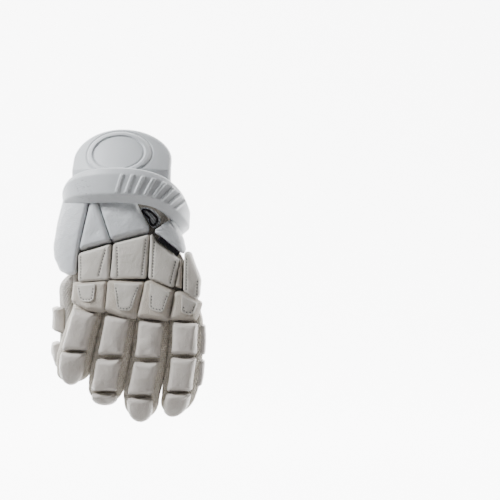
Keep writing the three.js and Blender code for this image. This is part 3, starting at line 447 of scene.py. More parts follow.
# Meshes
def surface(name, grid, closed=True, poles=(False, False), uv=None, marks=None, outward=None):
    """A mesh from a grid of points (rows, columns, 3), closed round its columns or open. A pole row shrinks
    to its mean point and becomes a fan. Faces are turned so that the enclosed volume is positive, or so that
    they point away from the point outward."""
    rows, columns = grid.shape[:2]
    ids = np.arange(rows * columns).reshape(rows, columns)
    points = grid.reshape(-1, 3).copy()
    last = columns if closed else columns - 1
    left = ids[:, :last]
    right = np.roll(ids, -1, axis=1)[:, :last]
    quads = np.stack([left[:-1], right[:-1], right[1:], left[1:]], axis=-1).reshape(-1, 4)
    corner_cols = np.arange(last)
    col_pairs = np.stack([corner_cols, corner_cols + 1, corner_cols + 1, corner_cols], axis=-1)
    quad_cols = np.tile(col_pairs, (rows - 1, 1))
    quad_rows = np.repeat(np.arange(rows - 1), last)[:, None] + np.array([0, 0, 1, 1])
    triangles = []
    for end, (row, inner) in enumerate(((0, 1), (rows - 1, rows - 2))):
        if poles[end]:
            points[ids[row]] = points[ids[row]].mean(axis=0)
            keep = ~np.any(np.isin(quads, ids[row]), axis=1)
            quads, quad_cols, quad_rows = quads[keep], quad_cols[keep], quad_rows[keep]
            fan = np.stack([np.full(last, ids[row, 0]), left[inner], right[inner]], axis=-1)
            triangles.append(fan[:, ::-1] if end == 0 else fan)
    triangles = np.vstack(triangles) if triangles else np.zeros((0, 3), int)
    loops = np.concatenate([quads.ravel(), triangles.ravel()])
    totals = np.concatenate([np.full(len(quads), 4), np.full(len(triangles), 3)])
    starts = np.concatenate([[0], np.cumsum(totals)[:-1]])
    tri_all = np.vstack([quads[:, [0, 1, 2]], quads[:, [0, 2, 3]], triangles])
    a, b, c = points[tri_all[:, 0]], points[tri_all[:, 1]], points[tri_all[:, 2]]
    if outward is None:
        sign = np.einsum("ij,ij->i", a, np.cross(b, c)).sum()
    else:
        sign = np.einsum("ij,ij->i", (a + b + c) / 3 - np.asarray(outward), np.cross(b - a, c - a)).sum()
    used, packed = np.unique(loops, return_inverse=True)
    mesh = bpy.data.meshes.new(name)
    mesh.vertices.add(len(used))
    mesh.vertices.foreach_set("co", (points[used] * MM).astype(np.float32).ravel())
    mesh.loops.add(len(loops))
    mesh.loops.foreach_set("vertex_index", packed.astype(np.int32))
    mesh.polygons.add(len(totals))
    mesh.polygons.foreach_set("loop_start", starts.astype(np.int32))
    mesh.update(calc_edges=True)
    if uv is not None:
        layer = mesh.uv_layers.new(name="UVMap")
        quad_uv = uv[quad_rows, quad_cols].reshape(-1, 2)
        fan_uv = uv.reshape(-1, 2)[np.minimum(triangles.ravel() // columns * uv.shape[1]
                                              + triangles.ravel() % columns, uv.shape[0] * uv.shape[1] - 1)]
        layer.data.foreach_set("uv", np.vstack([quad_uv, fan_uv]).astype(np.float32).ravel())
    for mark, values in (marks or {}).items():
        attribute = mesh.attributes.new(mark, "FLOAT", "POINT")
        attribute.data.foreach_set("value", np.asarray(values, np.float32).ravel()[used])
    if sign < 0:
        mesh.flip_normals()
    mesh.polygons.foreach_set("use_smooth", np.ones(len(totals), bool))
    mesh.update()
    return mesh


def join_copies(name, points, faces, frames):
    """One mesh of many copies of a small shape: each copy's points go through its 3 axes and its place."""
    axes, places = frames
    moved = np.einsum("kj,njd->nkd", points, axes) + places[:, None, :]
    offsets = np.arange(len(places))[:, None, None] * len(points)
    mesh = bpy.data.meshes.new(name)
    corners = (faces[None] + offsets).reshape(-1, 3)
    mesh.from_pydata((moved.reshape(-1, 3) * MM).tolist(), [], corners.tolist())
    mesh.polygons.foreach_set("use_smooth", np.ones(len(mesh.polygons), bool))
    mesh.update()
    return mesh


def capsule(length, radius, sides=6):
    """A closed grain shape along its first axis: rings of radius sin(t) at places cos(t) along the length."""
    t = np.linspace(0, np.pi, 6)[1:-1]
    turn = np.linspace(0, 2 * np.pi, sides, endpoint=False)
    rings = np.stack([
        np.repeat(np.cos(t) * length / 2, sides),
        np.outer(np.sin(t) ** 0.6, np.cos(turn)).ravel() * radius,
        np.outer(np.sin(t) ** 0.6, np.sin(turn)).ravel() * radius,
    ], axis=-1)
    points = np.vstack([rings, [[length / 2, 0, 0], [-length / 2, 0, 0]]])
    i = np.arange(sides)
    j = (i + 1) % sides
    bands = []
    for r in np.arange(len(t) - 1) * sides:
        bands.append(np.stack([r + i, r + sides + i, r + j], -1))
        bands.append(np.stack([r + j, r + sides + i, r + sides + j], -1))
    end = (len(t) - 1) * sides
    caps = [np.stack([np.full(sides, len(rings)), i, j], -1),
            np.stack([np.full(sides, len(rings) + 1), end + j, end + i], -1)]
    return points, np.vstack(bands + caps)


# Shader maths
class Value:
    """A shader socket that takes part in Python expressions: each operator adds a Math node."""

    def __init__(self, shader, socket):
        self.shader, self.socket = shader, socket

    def maths(self, operation, *others, swap=False):
        values = [self, *others]
        if swap:
            values.reverse()
        return self.shader.node("ShaderNodeMath", {"operation": operation}, dict(enumerate(values)))

    def __add__(self, other):
        return self.maths("ADD", other)

    __radd__ = __add__

    def __mul__(self, other):
        return self.maths("MULTIPLY", other)

    __rmul__ = __mul__

    def __sub__(self, other):
        return self.maths("SUBTRACT", other)

    def __rsub__(self, other):
        return self.maths("SUBTRACT", other, swap=True)

    def __truediv__(self, other):
        return self.maths("DIVIDE", other)

    def step(self, low, high):
        """A smooth rise from 0 at low to 1 at high."""
        settings = {"interpolation_type": "SMOOTHSTEP"}
        inputs = {"Value": self, "From Min": low, "From Max": high}
        return self.shader.node("ShaderNodeMapRange", settings, inputs)


class Shader:
    """A material and its nodes. node() adds one node of any type and gives its output back as a Value."""

    def __init__(self, name):
        self.material = bpy.data.materials.new(name)
        self.material.use_nodes = True
        self.tree = self.material.node_tree
        self.bsdf = self.tree.nodes["Principled BSDF"]
        self.places = self.node("ShaderNodeTexCoord", {}, {}, "Object")

    def node(self, kind, settings, inputs, output=0):
        node = self.tree.nodes.new(kind)
        for key, value in settings.items():
            if key == "stops":
                self.set_stops(node.color_ramp, value)
            else:
                setattr(node, key, value)
        for key, value in inputs.items():
            self.feed(node.inputs[key], value)
        return Value(self, node.outputs[output])

    def set_stops(self, ramp, stops):
        for element, (place, colour) in zip(ramp.elements, stops):
            element.position, element.color = place, (*colour, 1)
        for place, colour in stops[2:]:
            ramp.elements.new(place).color = (*colour, 1)

    def feed(self, socket, value):
        if isinstance(value, Value):
            self.tree.links.new(value.socket, socket)
        elif socket.type == "RGBA" and len(value) == 3:
            socket.default_value = (*value, 1)
        else:
            socket.default_value = value

    def set(self, **inputs):
        for key, value in inputs.items():
            self.feed(self.bsdf.inputs[key.replace("_", " ")], value)

    def noise(self, scale, detail=3.0, roughness=0.55, vector=None):
        inputs = {"Vector": vector or self.places, "Scale": scale, "Detail": detail, "Roughness": roughness}
        return self.node("ShaderNodeTexNoise", {}, inputs)

    def cells(self, scale, feature):
        inputs = {"Vector": self.places, "Scale": scale, "Randomness": 1.0}
        return self.node("ShaderNodeTexVoronoi", {"feature": feature}, inputs)

    def distance(self, place):
        """Distance from a point of the object."""
        ends = {0: self.places, 1: place}
        return self.node("ShaderNodeVectorMath", {"operation": "DISTANCE"}, ends, "Value")

    def mark(self, name):
        """A value that the mesh carries at its points."""
        return self.node("ShaderNodeAttribute", {"attribute_name": name}, {}, "Fac")

    def mix(self, factor, a, b):
        """Colour a where the factor is 0 and colour b where it is 1."""
        settings = {"data_type": "RGBA", "blend_type": "MIX"}
        return self.node("ShaderNodeMix", settings, {0: factor, 6: a, 7: b}, 2)

    def split(self, vector):
        node = self.tree.nodes.new("ShaderNodeSeparateXYZ")
        self.feed(node.inputs[0], vector)
        return [Value(self, output) for output in node.outputs]

    def bump(self, height, distance, normal=None):
        inputs = {"Height": height, "Distance": distance, "Strength": 1.0}
        if normal:
            inputs["Normal"] = normal
        return self.node("ShaderNodeBump", {}, inputs)


def leather(name, colour, shade, roughness, grain=0.00006, grain_scale=900.0, stains=()):
    """Soft coated leather: fine pebbled grain and larger creases as bump, faint blotches, and painted shade
    where the mesh marks it.
    """
    s = Shader(name)
    blotch = s.noise(38.0, 4.0, 0.6).step(0.3, 0.75)
    fine = s.noise(240.0, 3.0, 0.6)
    crease = s.mark("crease")
    worn = s.mark("edge")
    tone = s.mix(blotch * 0.35, colour, shade)
    tone = s.mix(fine.step(0.55, 0.8) * 0.12, tone, shade)
    tone = s.mix(worn * s.noise(160.0, 4.0).step(0.45, 0.7) * 0.35, tone, (0.52, 0.5, 0.47))
    for place, size, stain_colour, strength in stains:
        spot = (s.distance(place) + s.noise(120.0) * size * 0.7).step(size * 1.5, size * 0.4)
        tone = s.mix(spot * strength, tone, stain_colour)
    # Painted shade: the mark read above darkens the leather in its creases, grooves, undersides and at the
    # foot of its walls.
    tone = s.mix(crease, tone, (0.16, 0.15, 0.14))
    pebbles = s.cells(grain_scale, "SMOOTH_F1")
    normal = s.bump(pebbles, grain * 6)
    normal = s.bump(s.noise(grain_scale * 0.35, 5.0, 0.65), grain * 7, normal)
    normal = s.bump(s.noise(70.0, 2.0), 0.0004, normal)
    s.set(Base_Color=tone, Roughness=roughness + (fine - 0.5) * 0.18, Normal=normal)
    s.set(Sheen_Weight=0.05, IOR=1.45)
    return s.material


def nubuck(name, colour, shade):
    """Grained matt leather: coarse pebbles with dark valleys."""
    s = Shader(name)
    crease = s.mark("crease")
    pebbles = s.cells(560.0, "DISTANCE_TO_EDGE")
    valley = pebbles.step(0.16, 0.02)
    tone = s.mix(s.noise(60.0, 4.0, 0.6).step(0.3, 0.7) * 0.5, colour, shade)
    tone = s.mix(valley * 0.45, tone, shade)
    # Painted shade: the mark read above darkens the grain in creases, grooves, undersides and at the foot of
    # the walls.
    tone = s.mix(crease, tone, (0.16, 0.14, 0.12))
    normal = s.bump(pebbles.step(0.0, 0.25), 0.00035)
    normal = s.bump(s.noise(1500.0, 3.0), 0.00012, normal)
    s.set(Base_Color=tone, Roughness=0.82, Normal=normal, Sheen_Weight=0.25, Sheen_Roughness=0.6)
    return s.material


def honeycomb(u, v, pitch):
    """Distance to the nearest point of a staggered lattice, in the units of u and v: the lesser of the
    distances on two rectangular lattices of pitch by pitch times root three, half a cell apart."""
    tall = pitch * 3 ** 0.5
    found = []
    for shift in (0.0, 0.5):
        a = ((u / pitch + shift).maths("FRACT") - 0.5) * pitch
        b = ((v / tall + shift).maths("FRACT") - 0.5) * tall
        found.append((a * a + b * b).maths("SQRT"))
    return found[0].maths("MINIMUM", found[1])


def mesh_cloth(name, thread, hole, pitch, leather_colour=None):
    """Open spacer cloth on the piece's own map: rounded threads round staggered holes. Where the mark palm
    is 1 the piece is smooth leather instead."""
    s = Shader(name)
    u, v, _ = s.split(s.node("ShaderNodeUVMap", {"uv_map": "UVMap"}, {}))
    near = honeycomb(u + s.noise(90.0) * 0.5, v, pitch)
    hollow = near.step(pitch * 0.4, pitch * 0.22)
    fuzz = s.noise(900.0, 4.0, 0.7)
    tone = s.mix(fuzz.step(0.3, 0.8) * 0.35, thread, hole)
    tone = s.mix(hollow * 0.65, tone, hole)
    height = near.step(pitch * 0.2, pitch * 0.52) + fuzz * 0.25
    tone = s.mix(s.noise(45.0, 3.0).step(0.35, 0.75) * 0.3, tone, hole)
    rough = 0.9
    if leather_colour:
        palm = s.mark("palm")
        hide = s.mix(s.noise(70.0, 4.0, 0.6).step(0.3, 0.7) * 0.4, leather_colour,
                     tuple(0.82 * c for c in leather_colour))
        tone = s.mix(palm, tone, hide)
        height = height * (1 - palm) + s.cells(800.0, "SMOOTH_F1") * palm * 0.3
        rough = palm * -0.25 + 0.9
    # Painted shade from the mesh's mark: darker inside the stall and along its side seam.
    tone = s.mix(s.mark("crease"), tone, (0.1, 0.09, 0.08))
    s.set(Base_Color=tone, Roughness=rough, Normal=s.bump(height, 0.0007), Sheen_Weight=0.2)
    return s.material


def knit_cloth(name, thread, valley, pitch):
    """Ribbed knit on the piece's own map: slanted ribs broken into loops."""
    s = Shader(name)
    u, v, _ = s.split(s.node("ShaderNodeUVMap", {"uv_map": "UVMap"}, {}))
    turn = 2 * np.pi / pitch
    ribs = ((u * 0.8 + v * 0.6) * turn).maths("SINE") * 0.5 + 0.5
    loops = ((u * 0.6 - v * 0.8) * (turn * 0.9)).maths("SINE") * 0.5 + 0.5
    height = ribs * (0.55 + loops * 0.45) + s.noise(1200.0, 3.0) * 0.3
    tone = s.mix(height.step(0.85, 0.15), thread, valley)
    tone = s.mix(s.noise(50.0, 3.0).step(0.35, 0.75) * 0.3, tone, valley)
    # Painted shade from the mesh's mark, where the piece lies under or between other parts.
    tone = s.mix(s.mark("crease"), tone, (0.1, 0.09, 0.08))
    s.set(Base_Color=tone, Roughness=0.92, Normal=s.bump(height, 0.0004), Sheen_Weight=0.25)
    return s.material


def moulded_foam(name, colour, shade, scuff_place=None):
    """Skinned foam: smooth and satin, very finely textured, faintly smeared and, at one place, scuffed."""
    s = Shader(name)
    tone = s.mix(s.noise(26.0, 4.0, 0.6).step(0.35, 0.75) * 0.4, colour, shade)
    # Painted shade from the mesh's mark: the grooves beside the cap's ring and the inner face of the band.
    tone = s.mix(s.mark("crease"), tone, (0.3, 0.31, 0.32))
    tone = s.mix(s.noise(700.0, 2.0).step(0.66, 0.78) * 0.1, tone, (0.45, 0.45, 0.45))
    if scuff_place:
        turned = {"Vector": s.places, "Rotation": (0, 0.5, 0), "Scale": (1, 1, 2.2)}
        stretch = s.node("ShaderNodeMapping", {}, turned)
        near = s.distance(scuff_place).step(0.018, 0.007)
        scratch = s.noise(330.0, 3.0, 0.6, stretch).step(0.56, 0.63)
        tone = s.mix(near * scratch * 0.85, tone, (0.3, 0.3, 0.31))
    normal = s.bump(s.noise(1400.0, 3.0, 0.6), 0.00005)
    normal = s.bump(s.noise(55.0, 2.0), 0.0003, normal)
    s.set(Base_Color=tone, Roughness=0.42 + s.noise(60.0, 3.0) * 0.12, Normal=normal, IOR=1.45)
    return s.material


def black_tape(name, pitch=0.0011):
    """Woven tape: crossed ribs on Object coordinates, nearly black."""
    s = Shader(name)
    x, y, z = s.split(s.places)
    turn = 2 * np.pi / pitch
    weave = ((x + y) * turn).maths("SINE") * ((z + x * 0.2) * turn).maths("SINE") * 0.5 + 0.5
    tone = s.mix(weave.step(0.2, 0.8), (0.003, 0.003, 0.0035), (0.012, 0.012, 0.013))
    s.set(Base_Color=tone, Roughness=0.9, Normal=s.bump(weave, 0.0002), IOR=1.25)
    return s.material


def thread(name, colour):
    """Twisted sewing thread."""
    s = Shader(name)
    twist = s.node("ShaderNodeTexWave", {}, {"Vector": s.places, "Scale": 1400.0, "Distortion": 1.0})
    s.set(Base_Color=s.mix(twist * 0.5, colour, tuple(0.6 * c for c in colour)), Roughness=0.6)
    return s.material


# Pads
class Pad:
    """A leather pad on a face. Its top is the thickness, less a circular rounding within edge of the outline,
    plus a crown that grows with the distance from the outline, plus its reliefs."""

    def __init__(self, face, outline, thickness, edge=4.5, crown=1.0, reliefs=(), taper=0.0, base=GAP,
                 wall=0.6):
        self.face, self.outline, self.thickness = face, outline, thickness
        self.edge, self.crown, self.reliefs, self.taper = edge, crown, reliefs, taper
        self.base, self.wall = base, wall
        self.centre = self.outline.mean(axis=0)
        self.deep = edge_distance(outline, self.centre[:1], self.centre[1:]).item()
        self.low, self.high = outline[:, 1].min(), outline[:, 1].max()

    def thin(self, v):
        return 1 - self.taper * (self.high - v) / (self.high - self.low)

    def rise(self, v, distance):
        inward = np.clip(distance / self.edge, 0, 1)
        rounding = self.edge * (1 - np.sqrt(np.maximum(1 - (1 - inward) ** 2, 0)))
        dome = self.crown * (1 - (1 - np.clip(distance / self.deep, 0, 1)) ** 2)
        return self.thickness * self.thin(v) - rounding + dome

    def top(self, u, v):
        """Height of the finished top over the face."""
        distance = edge_distance(self.outline, u, v)
        total = self.rise(v, distance)
        for relief in self.reliefs:
            total = total + relief(u, v, distance)
        return total

    def mesh(self, name, rings, walls=9):
        """Closed grid: from the middle of the back out to the outline, up the wall, and in over the top."""
        inward = 1 - np.linspace(1, 0, rings) ** 1.6
        keep_top = 1 - inward
        keep = np.concatenate([[0.0, 0.5], np.ones(walls), keep_top[1:]])
        rim = self.outline - self.centre
        u = self.centre[0] + rim[None, :, 0] * keep[:, None]
        v = self.centre[1] + rim[None, :, 1] * keep[:, None]
        distance = edge_distance(self.outline, u, v)
        shoulder = self.top(u[walls + 1], v[walls + 1])
        climb = np.linspace(0, 1, walls)[:, None]
        wall_height = self.base + climb * (shoulder - self.base)[None]
        height = np.empty_like(u)
        height[:2] = self.base
        height[2:walls + 2] = wall_height
        height[walls + 2:] = self.top(u[walls + 2:], v[walls + 2:])
        bulge = self.wall * np.sin(np.pi * climb) - 1.2 * (1 - climb) ** 2
        outward = rim / np.maximum(np.linalg.norm(rim, axis=1, keepdims=True), 1e-9)
        u[2:walls + 2] += bulge * outward[:, 0]
        v[2:walls + 2] += bulge * outward[:, 1]
        # Painted shade, carried as a mark: the back, the foot of the wall and the sunken reliefs (undersides,
        # grooves, pleats) are darkened.
        crease = np.zeros_like(u)
        crease[:2] = 0.8
        crease[2:walls + 2] = 0.75 * (1 - climb) ** 1.5
        for relief in self.reliefs:
            sunk = -relief(u[walls + 2:], v[walls + 2:], distance[walls + 2:])
            crease[walls + 2:] += np.clip(sunk - 0.25, 0, 1) * 0.22 + np.clip(sunk - 1, 0, 4) * 0.08
        edge = np.zeros_like(u)
        edge[walls:] = smoothstep(self.edge * 0.8, 0, distance[walls:])
        points = self.face.place(u, v, self.face.height(u, v) + height)
        marks = {"crease": np.clip(crease, 0, 0.9), "edge": edge}
        return surface(name, points, poles=(True, True), marks=marks)


def lumps(seed, size, depth, edge=3.0):
    """Foam showing through: smooth noise that fades at the outline."""
    return lambda u, v, d: ripple(u, v, seed, size) * depth * smoothstep(0, edge, d)


def underside(path, drop, reach):
    """The lower edge turned under: the top falls by drop within reach of a path, nearly straight."""
    return lambda u, v, d: -drop * (1 - np.clip(line_distance(path, u, v) / reach, 0, 1)) ** 1.3


def groove(path, depth, width):
    """A sewn line: a bell-shaped valley along a path."""
    return lambda u, v, d: -depth * np.exp(-(line_distance(path, u, v) / width) ** 2)


def puckers(path, depth, spacing, reach):
    """Leather gathered by a seam: short waves across a path, fading away from it."""
    (ax, ay), (bx, by) = path[0], path[-1]
    length = np.hypot(bx - ax, by - ay)

    def relief(u, v, d):
        along = ((u - ax) * (bx - ax) + (v - ay) * (by - ay)) / length
        away = line_distance(path, u, v)
        wave = 0.5 + 0.5 * np.cos(2 * np.pi * along / spacing)
        return -depth * wave * np.exp(-away / reach) * smoothstep(0, 1, away)

    return relief


def pleat(corner, toward, depth=1.1, width=0.9, length=8.0):
    """A fold that starts at a corner and runs towards a point, dying away along its length, with one flank
    raised."""
    (ax, ay), (bx, by) = corner, toward
    size = np.hypot(bx - ax, by - ay)
    tx, ty = (bx - ax) / size, (by - ay) / size

    def relief(u, v, d):
        along = (u - ax) * tx + (v - ay) * ty
        aside = -(u - ax) * ty + (v - ay) * tx
        fade = smoothstep(length, 0, along) * smoothstep(-3, 0, along)
        valley = -depth * np.exp(-(aside / width) ** 2)
        ridge = 0.6 * depth * np.exp(-((aside - 1.8 * width) / (1.3 * width)) ** 2)
        return (valley + ridge) * fade

    return relief


def corner_pleats(outline_corners, which, seed, depth=1.0, length=8.0):
    """Two or three pleats fan out from each chosen corner towards the middle."""
    random = np.random.default_rng(SEED + seed)
    corners = np.asarray(outline_corners, float)
    middle = corners.mean(axis=0)
    reliefs = []
    for i in which:
        base = np.arctan2(*(middle - corners[i])[::-1])
        for turn in random.uniform(-0.75, 0.75, 2):
            toward = corners[i] + 10 * np.array([np.cos(base + turn), np.sin(base + turn)])
            reliefs.append(pleat(corners[i], toward, depth * random.uniform(0.6, 1.2),
                                 random.uniform(0.6, 1.1), length * random.uniform(0.7, 1.3)))
    return reliefs


def add_piece(name, mesh, material, nodes=()):
    """Puts a finished mesh in the scene, rides it on the glove and hides the nodes it stands for."""
    piece = bpy.data.objects.new(name, mesh)
    bpy.context.scene.collection.objects.link(piece)
    piece.data.materials.append(material)
    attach(piece, "root")
    if nodes:
        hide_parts(*nodes)
    return piece


def add_pad(node, pad, material, rings):
    """A padded leather piece in place of its node."""
    name = f"{node}_leather"
    return add_piece(name, pad.mesh(name, rings), material, [node])


def thicken(piece, thickness):
    """A wall on the inner side of an open sheet."""
    wall = piece.modifiers.new("wall", "SOLIDIFY")
    wall.thickness = thickness * MM
    wall.offset = -1.0
    return piece


def stitch_frames(pad, path, spacing, lift):
    """Places and axes of stitches at even steps along a path on a pad's top."""
    path = np.asarray(path, float)
    run = np.linalg.norm(np.diff(path, axis=0), axis=1).sum()
    count = max(int(run / spacing), 2)
    spots = resample(path, count * 2 + 1, closed=False)
    here, ahead = spots[1::2], spots[2::2]

    def on_top(points):
        u, v = points[:, 0], points[:, 1]
        return pad.face.place(u, v, pad.face.height(u, v) + pad.top(u, v) + lift)

    middle = on_top(here)
    along = on_top(ahead) - middle
    along /= np.linalg.norm(along, axis=1, keepdims=True)
    side = np.cross(along, np.array([0.0, 1.0, 0.0]))
    side /= np.linalg.norm(side, axis=1, keepdims=True)
    axes = np.stack([along, side, np.cross(along, side)], axis=1)
    return axes, middle


def add_stitches(name, rows, material, length=1.9, radius=0.42):
    """All the stitches of a group of pads as one piece."""
    axes = np.concatenate([r[0] for r in rows])
    places = np.concatenate([r[1] for r in rows])
    points, faces = capsule(length, radius)
    return add_piece(name, join_copies(name, points, faces, (axes, places)), material)


# Sizes and colours that a user would change
class GloveSizes(bpy.types.PropertyGroup):
    pad_crown: FloatProperty(name="Pad crown", description="How much a pad domes", default=1.1 * MM,
                             unit="LENGTH", min=0.0)
    pad_edge: FloatProperty(name="Pad edge", description="Radius of a pad's rounded edge", default=4.5 * MM,
                            unit="LENGTH", min=0.0005)
    stitch_pitch: FloatProperty(name="Stitch pitch", description="Distance between stitches",
                                default=3.3 * MM, unit="LENGTH", min=0.001)
    rib_relief: FloatProperty(name="Rib relief", description="Height of the ribs on the band",
                              default=1.2 * MM, unit="LENGTH", min=0.0)
    ring_relief: FloatProperty(name="Ring relief", description="Height of the ring on the cap",
                               default=1.9 * MM, unit="LENGTH", min=0.0)
    mesh_pitch: FloatProperty(name="Mesh pitch", description="Distance between the holes of the mesh cloth",
                              default=3.1 * MM, unit="LENGTH", min=0.0005)


class GloveColours(bpy.types.PropertyGroup):
    foam: FloatVectorProperty(name="Foam", description="Moulded cap and band", subtype="COLOR",
                              default=(0.53, 0.545, 0.56), min=0, max=1)
    leather: FloatVectorProperty(name="Leather", description="Pads on the hand", subtype="COLOR",
                                 default=(0.55, 0.52, 0.47), min=0, max=1)
    finger_leather: FloatVectorProperty(name="Finger leather", description="Pads on the fingers",
                                        subtype="COLOR", default=(0.55, 0.51, 0.465), min=0, max=1)
    nubuck: FloatVectorProperty(name="Nubuck", description="Grained pads at the knuckles", subtype="COLOR",
                                default=(0.55, 0.495, 0.42), min=0, max=1)
    mesh: FloatVectorProperty(name="Mesh", description="Mesh cloth of the stalls", subtype="COLOR",
                              default=(0.76, 0.70, 0.60), min=0, max=1)
    palm: FloatVectorProperty(name="Palm", description="Palm leather", subtype="COLOR",
                              default=(0.47, 0.44, 0.385), min=0, max=1)
    thread: FloatVectorProperty(name="Thread", description="Sewing thread", subtype="COLOR",
                                default=(0.035, 0.033, 0.03), min=0, max=1)


def darker(colour, share=0.82):
    return tuple(share * c for c in colour)


class GLOVE_OT_stage(bpy.types.Operator):
    """Camera, pale floor with its backdrop, and soft studio light"""
    bl_idname = "glove.stage"
    bl_label = "Stage"

    def execute(self, context):
        scene = context.scene
        # The image spans 562.5 mm at 750 mm, with the glove on the left of it
        distance, plane, span = 750.0, -20.0, 562.5
        camera = bpy.data.objects.new("camera", bpy.data.cameras.new("camera"))
        camera.location = (0.1467, (plane - distance) * MM, -0.13925)
        camera.rotation_euler = (np.pi / 2, 0, 0)
        camera.data.sensor_width = 36.0
        camera.data.lens = 36.0 * distance / span
        scene.collection.objects.link(camera)
        scene.camera = camera
        self.backdrop(scene)
        self.light(scene, "key", (-0.78, -0.5, 0.66), 0.3, 31.0, (0.96, 0.98, 1.0))
        self.light(scene, "fill", (1.1, -0.9, 0.0), 1.2, 1.4, (1.0, 0.9, 0.86))
        self.light(scene, "rim", (-0.2, 0.5, 0.9), 0.8, 1.2, (1.0, 1.0, 1.0))
        world = bpy.data.worlds.new("studio")
        world.use_nodes = True
        world.node_tree.nodes["Background"].inputs["Color"].default_value = (0.95, 0.97, 1.0, 1)
        world.node_tree.nodes["Background"].inputs["Strength"].default_value = 0.12
        scene.world = world
        return {"FINISHED"}

    def light(self, scene, name, place, size, power, colour):
        data = bpy.data.lights.new(name, "AREA")
        data.shape, data.size, data.energy, data.color = "DISK", size, power, colour
        lamp = bpy.data.objects.new(name, data)
        lamp.location = place
        aim = Vector((0.0, 0.0, -0.17)) - lamp.location
        lamp.rotation_euler = aim.to_track_quat("-Z", "Y").to_euler()
        scene.collection.objects.link(lamp)

    def backdrop(self, scene):
        """A floor that curves up into a wall: straight, quarter circle, straight, swept sideways."""
        floor, wall, radius, half = -900.0, 900.0, 300.0, 3200.0
        turn = np.linspace(0, np.pi / 2, 16)
        front = np.array([[-3000.0, floor]])
        curve = np.column_stack([
            wall - radius + radius * np.sin(turn), floor + radius - radius * np.cos(turn),
        ])
        profile = np.vstack([front, curve, [[wall, 2600.0]]])
        sides = np.array([-half, half])
        grid = np.stack([
            np.broadcast_to(sides[None, :], (len(profile), 2)),
            np.broadcast_to(profile[:, :1], (len(profile), 2)),
            np.broadcast_to(profile[:, 1:], (len(profile), 2)),
        ], axis=-1)
        mesh = surface("backdrop", grid, closed=False, outward=(0, 3000, -3000))
        mesh.flip_normals()
        cloth = bpy.data.objects.new("backdrop", mesh)
        scene.collection.objects.link(cloth)
        s = Shader("backdrop_white")
        _, depth, _ = s.split(s.places)
        glow = depth.step(0.2, 0.7)
        s.set(Base_Color=s.mix(glow, (0.34, 0.34, 0.34), (0.92, 0.92, 0.92)), Roughness=0.9,
              Emission_Color=s.mix(glow, (0, 0, 0), (1, 1, 1)))
        s.bsdf.inputs["Emission Strength"].default_value = 7.5
        mesh.materials.append(s.material)


def cap_ring(relief):
    """The raised ring: a rounded ridge between two grooves, at an elliptic radius from its centre."""
    def height(u, v, d):
        r = np.hypot((u - EMBLEM_ASIDE) / EMBLEM_RADIUS, (v + EMBLEM_DROP) / EMBLEM_RISE) * EMBLEM_RADIUS
        ridge = relief * smoothstep(36.6, 34.2, r) * smoothstep(28.8, 31.0, r)
        outer = -1.1 * np.exp(-((r - 37.2) / 0.9) ** 2)
        inner = -0.8 * np.exp(-((r - 28.2) / 0.8) ** 2)
        return (ridge + outer + inner) * smoothstep(0, 2.5, d)
    return height


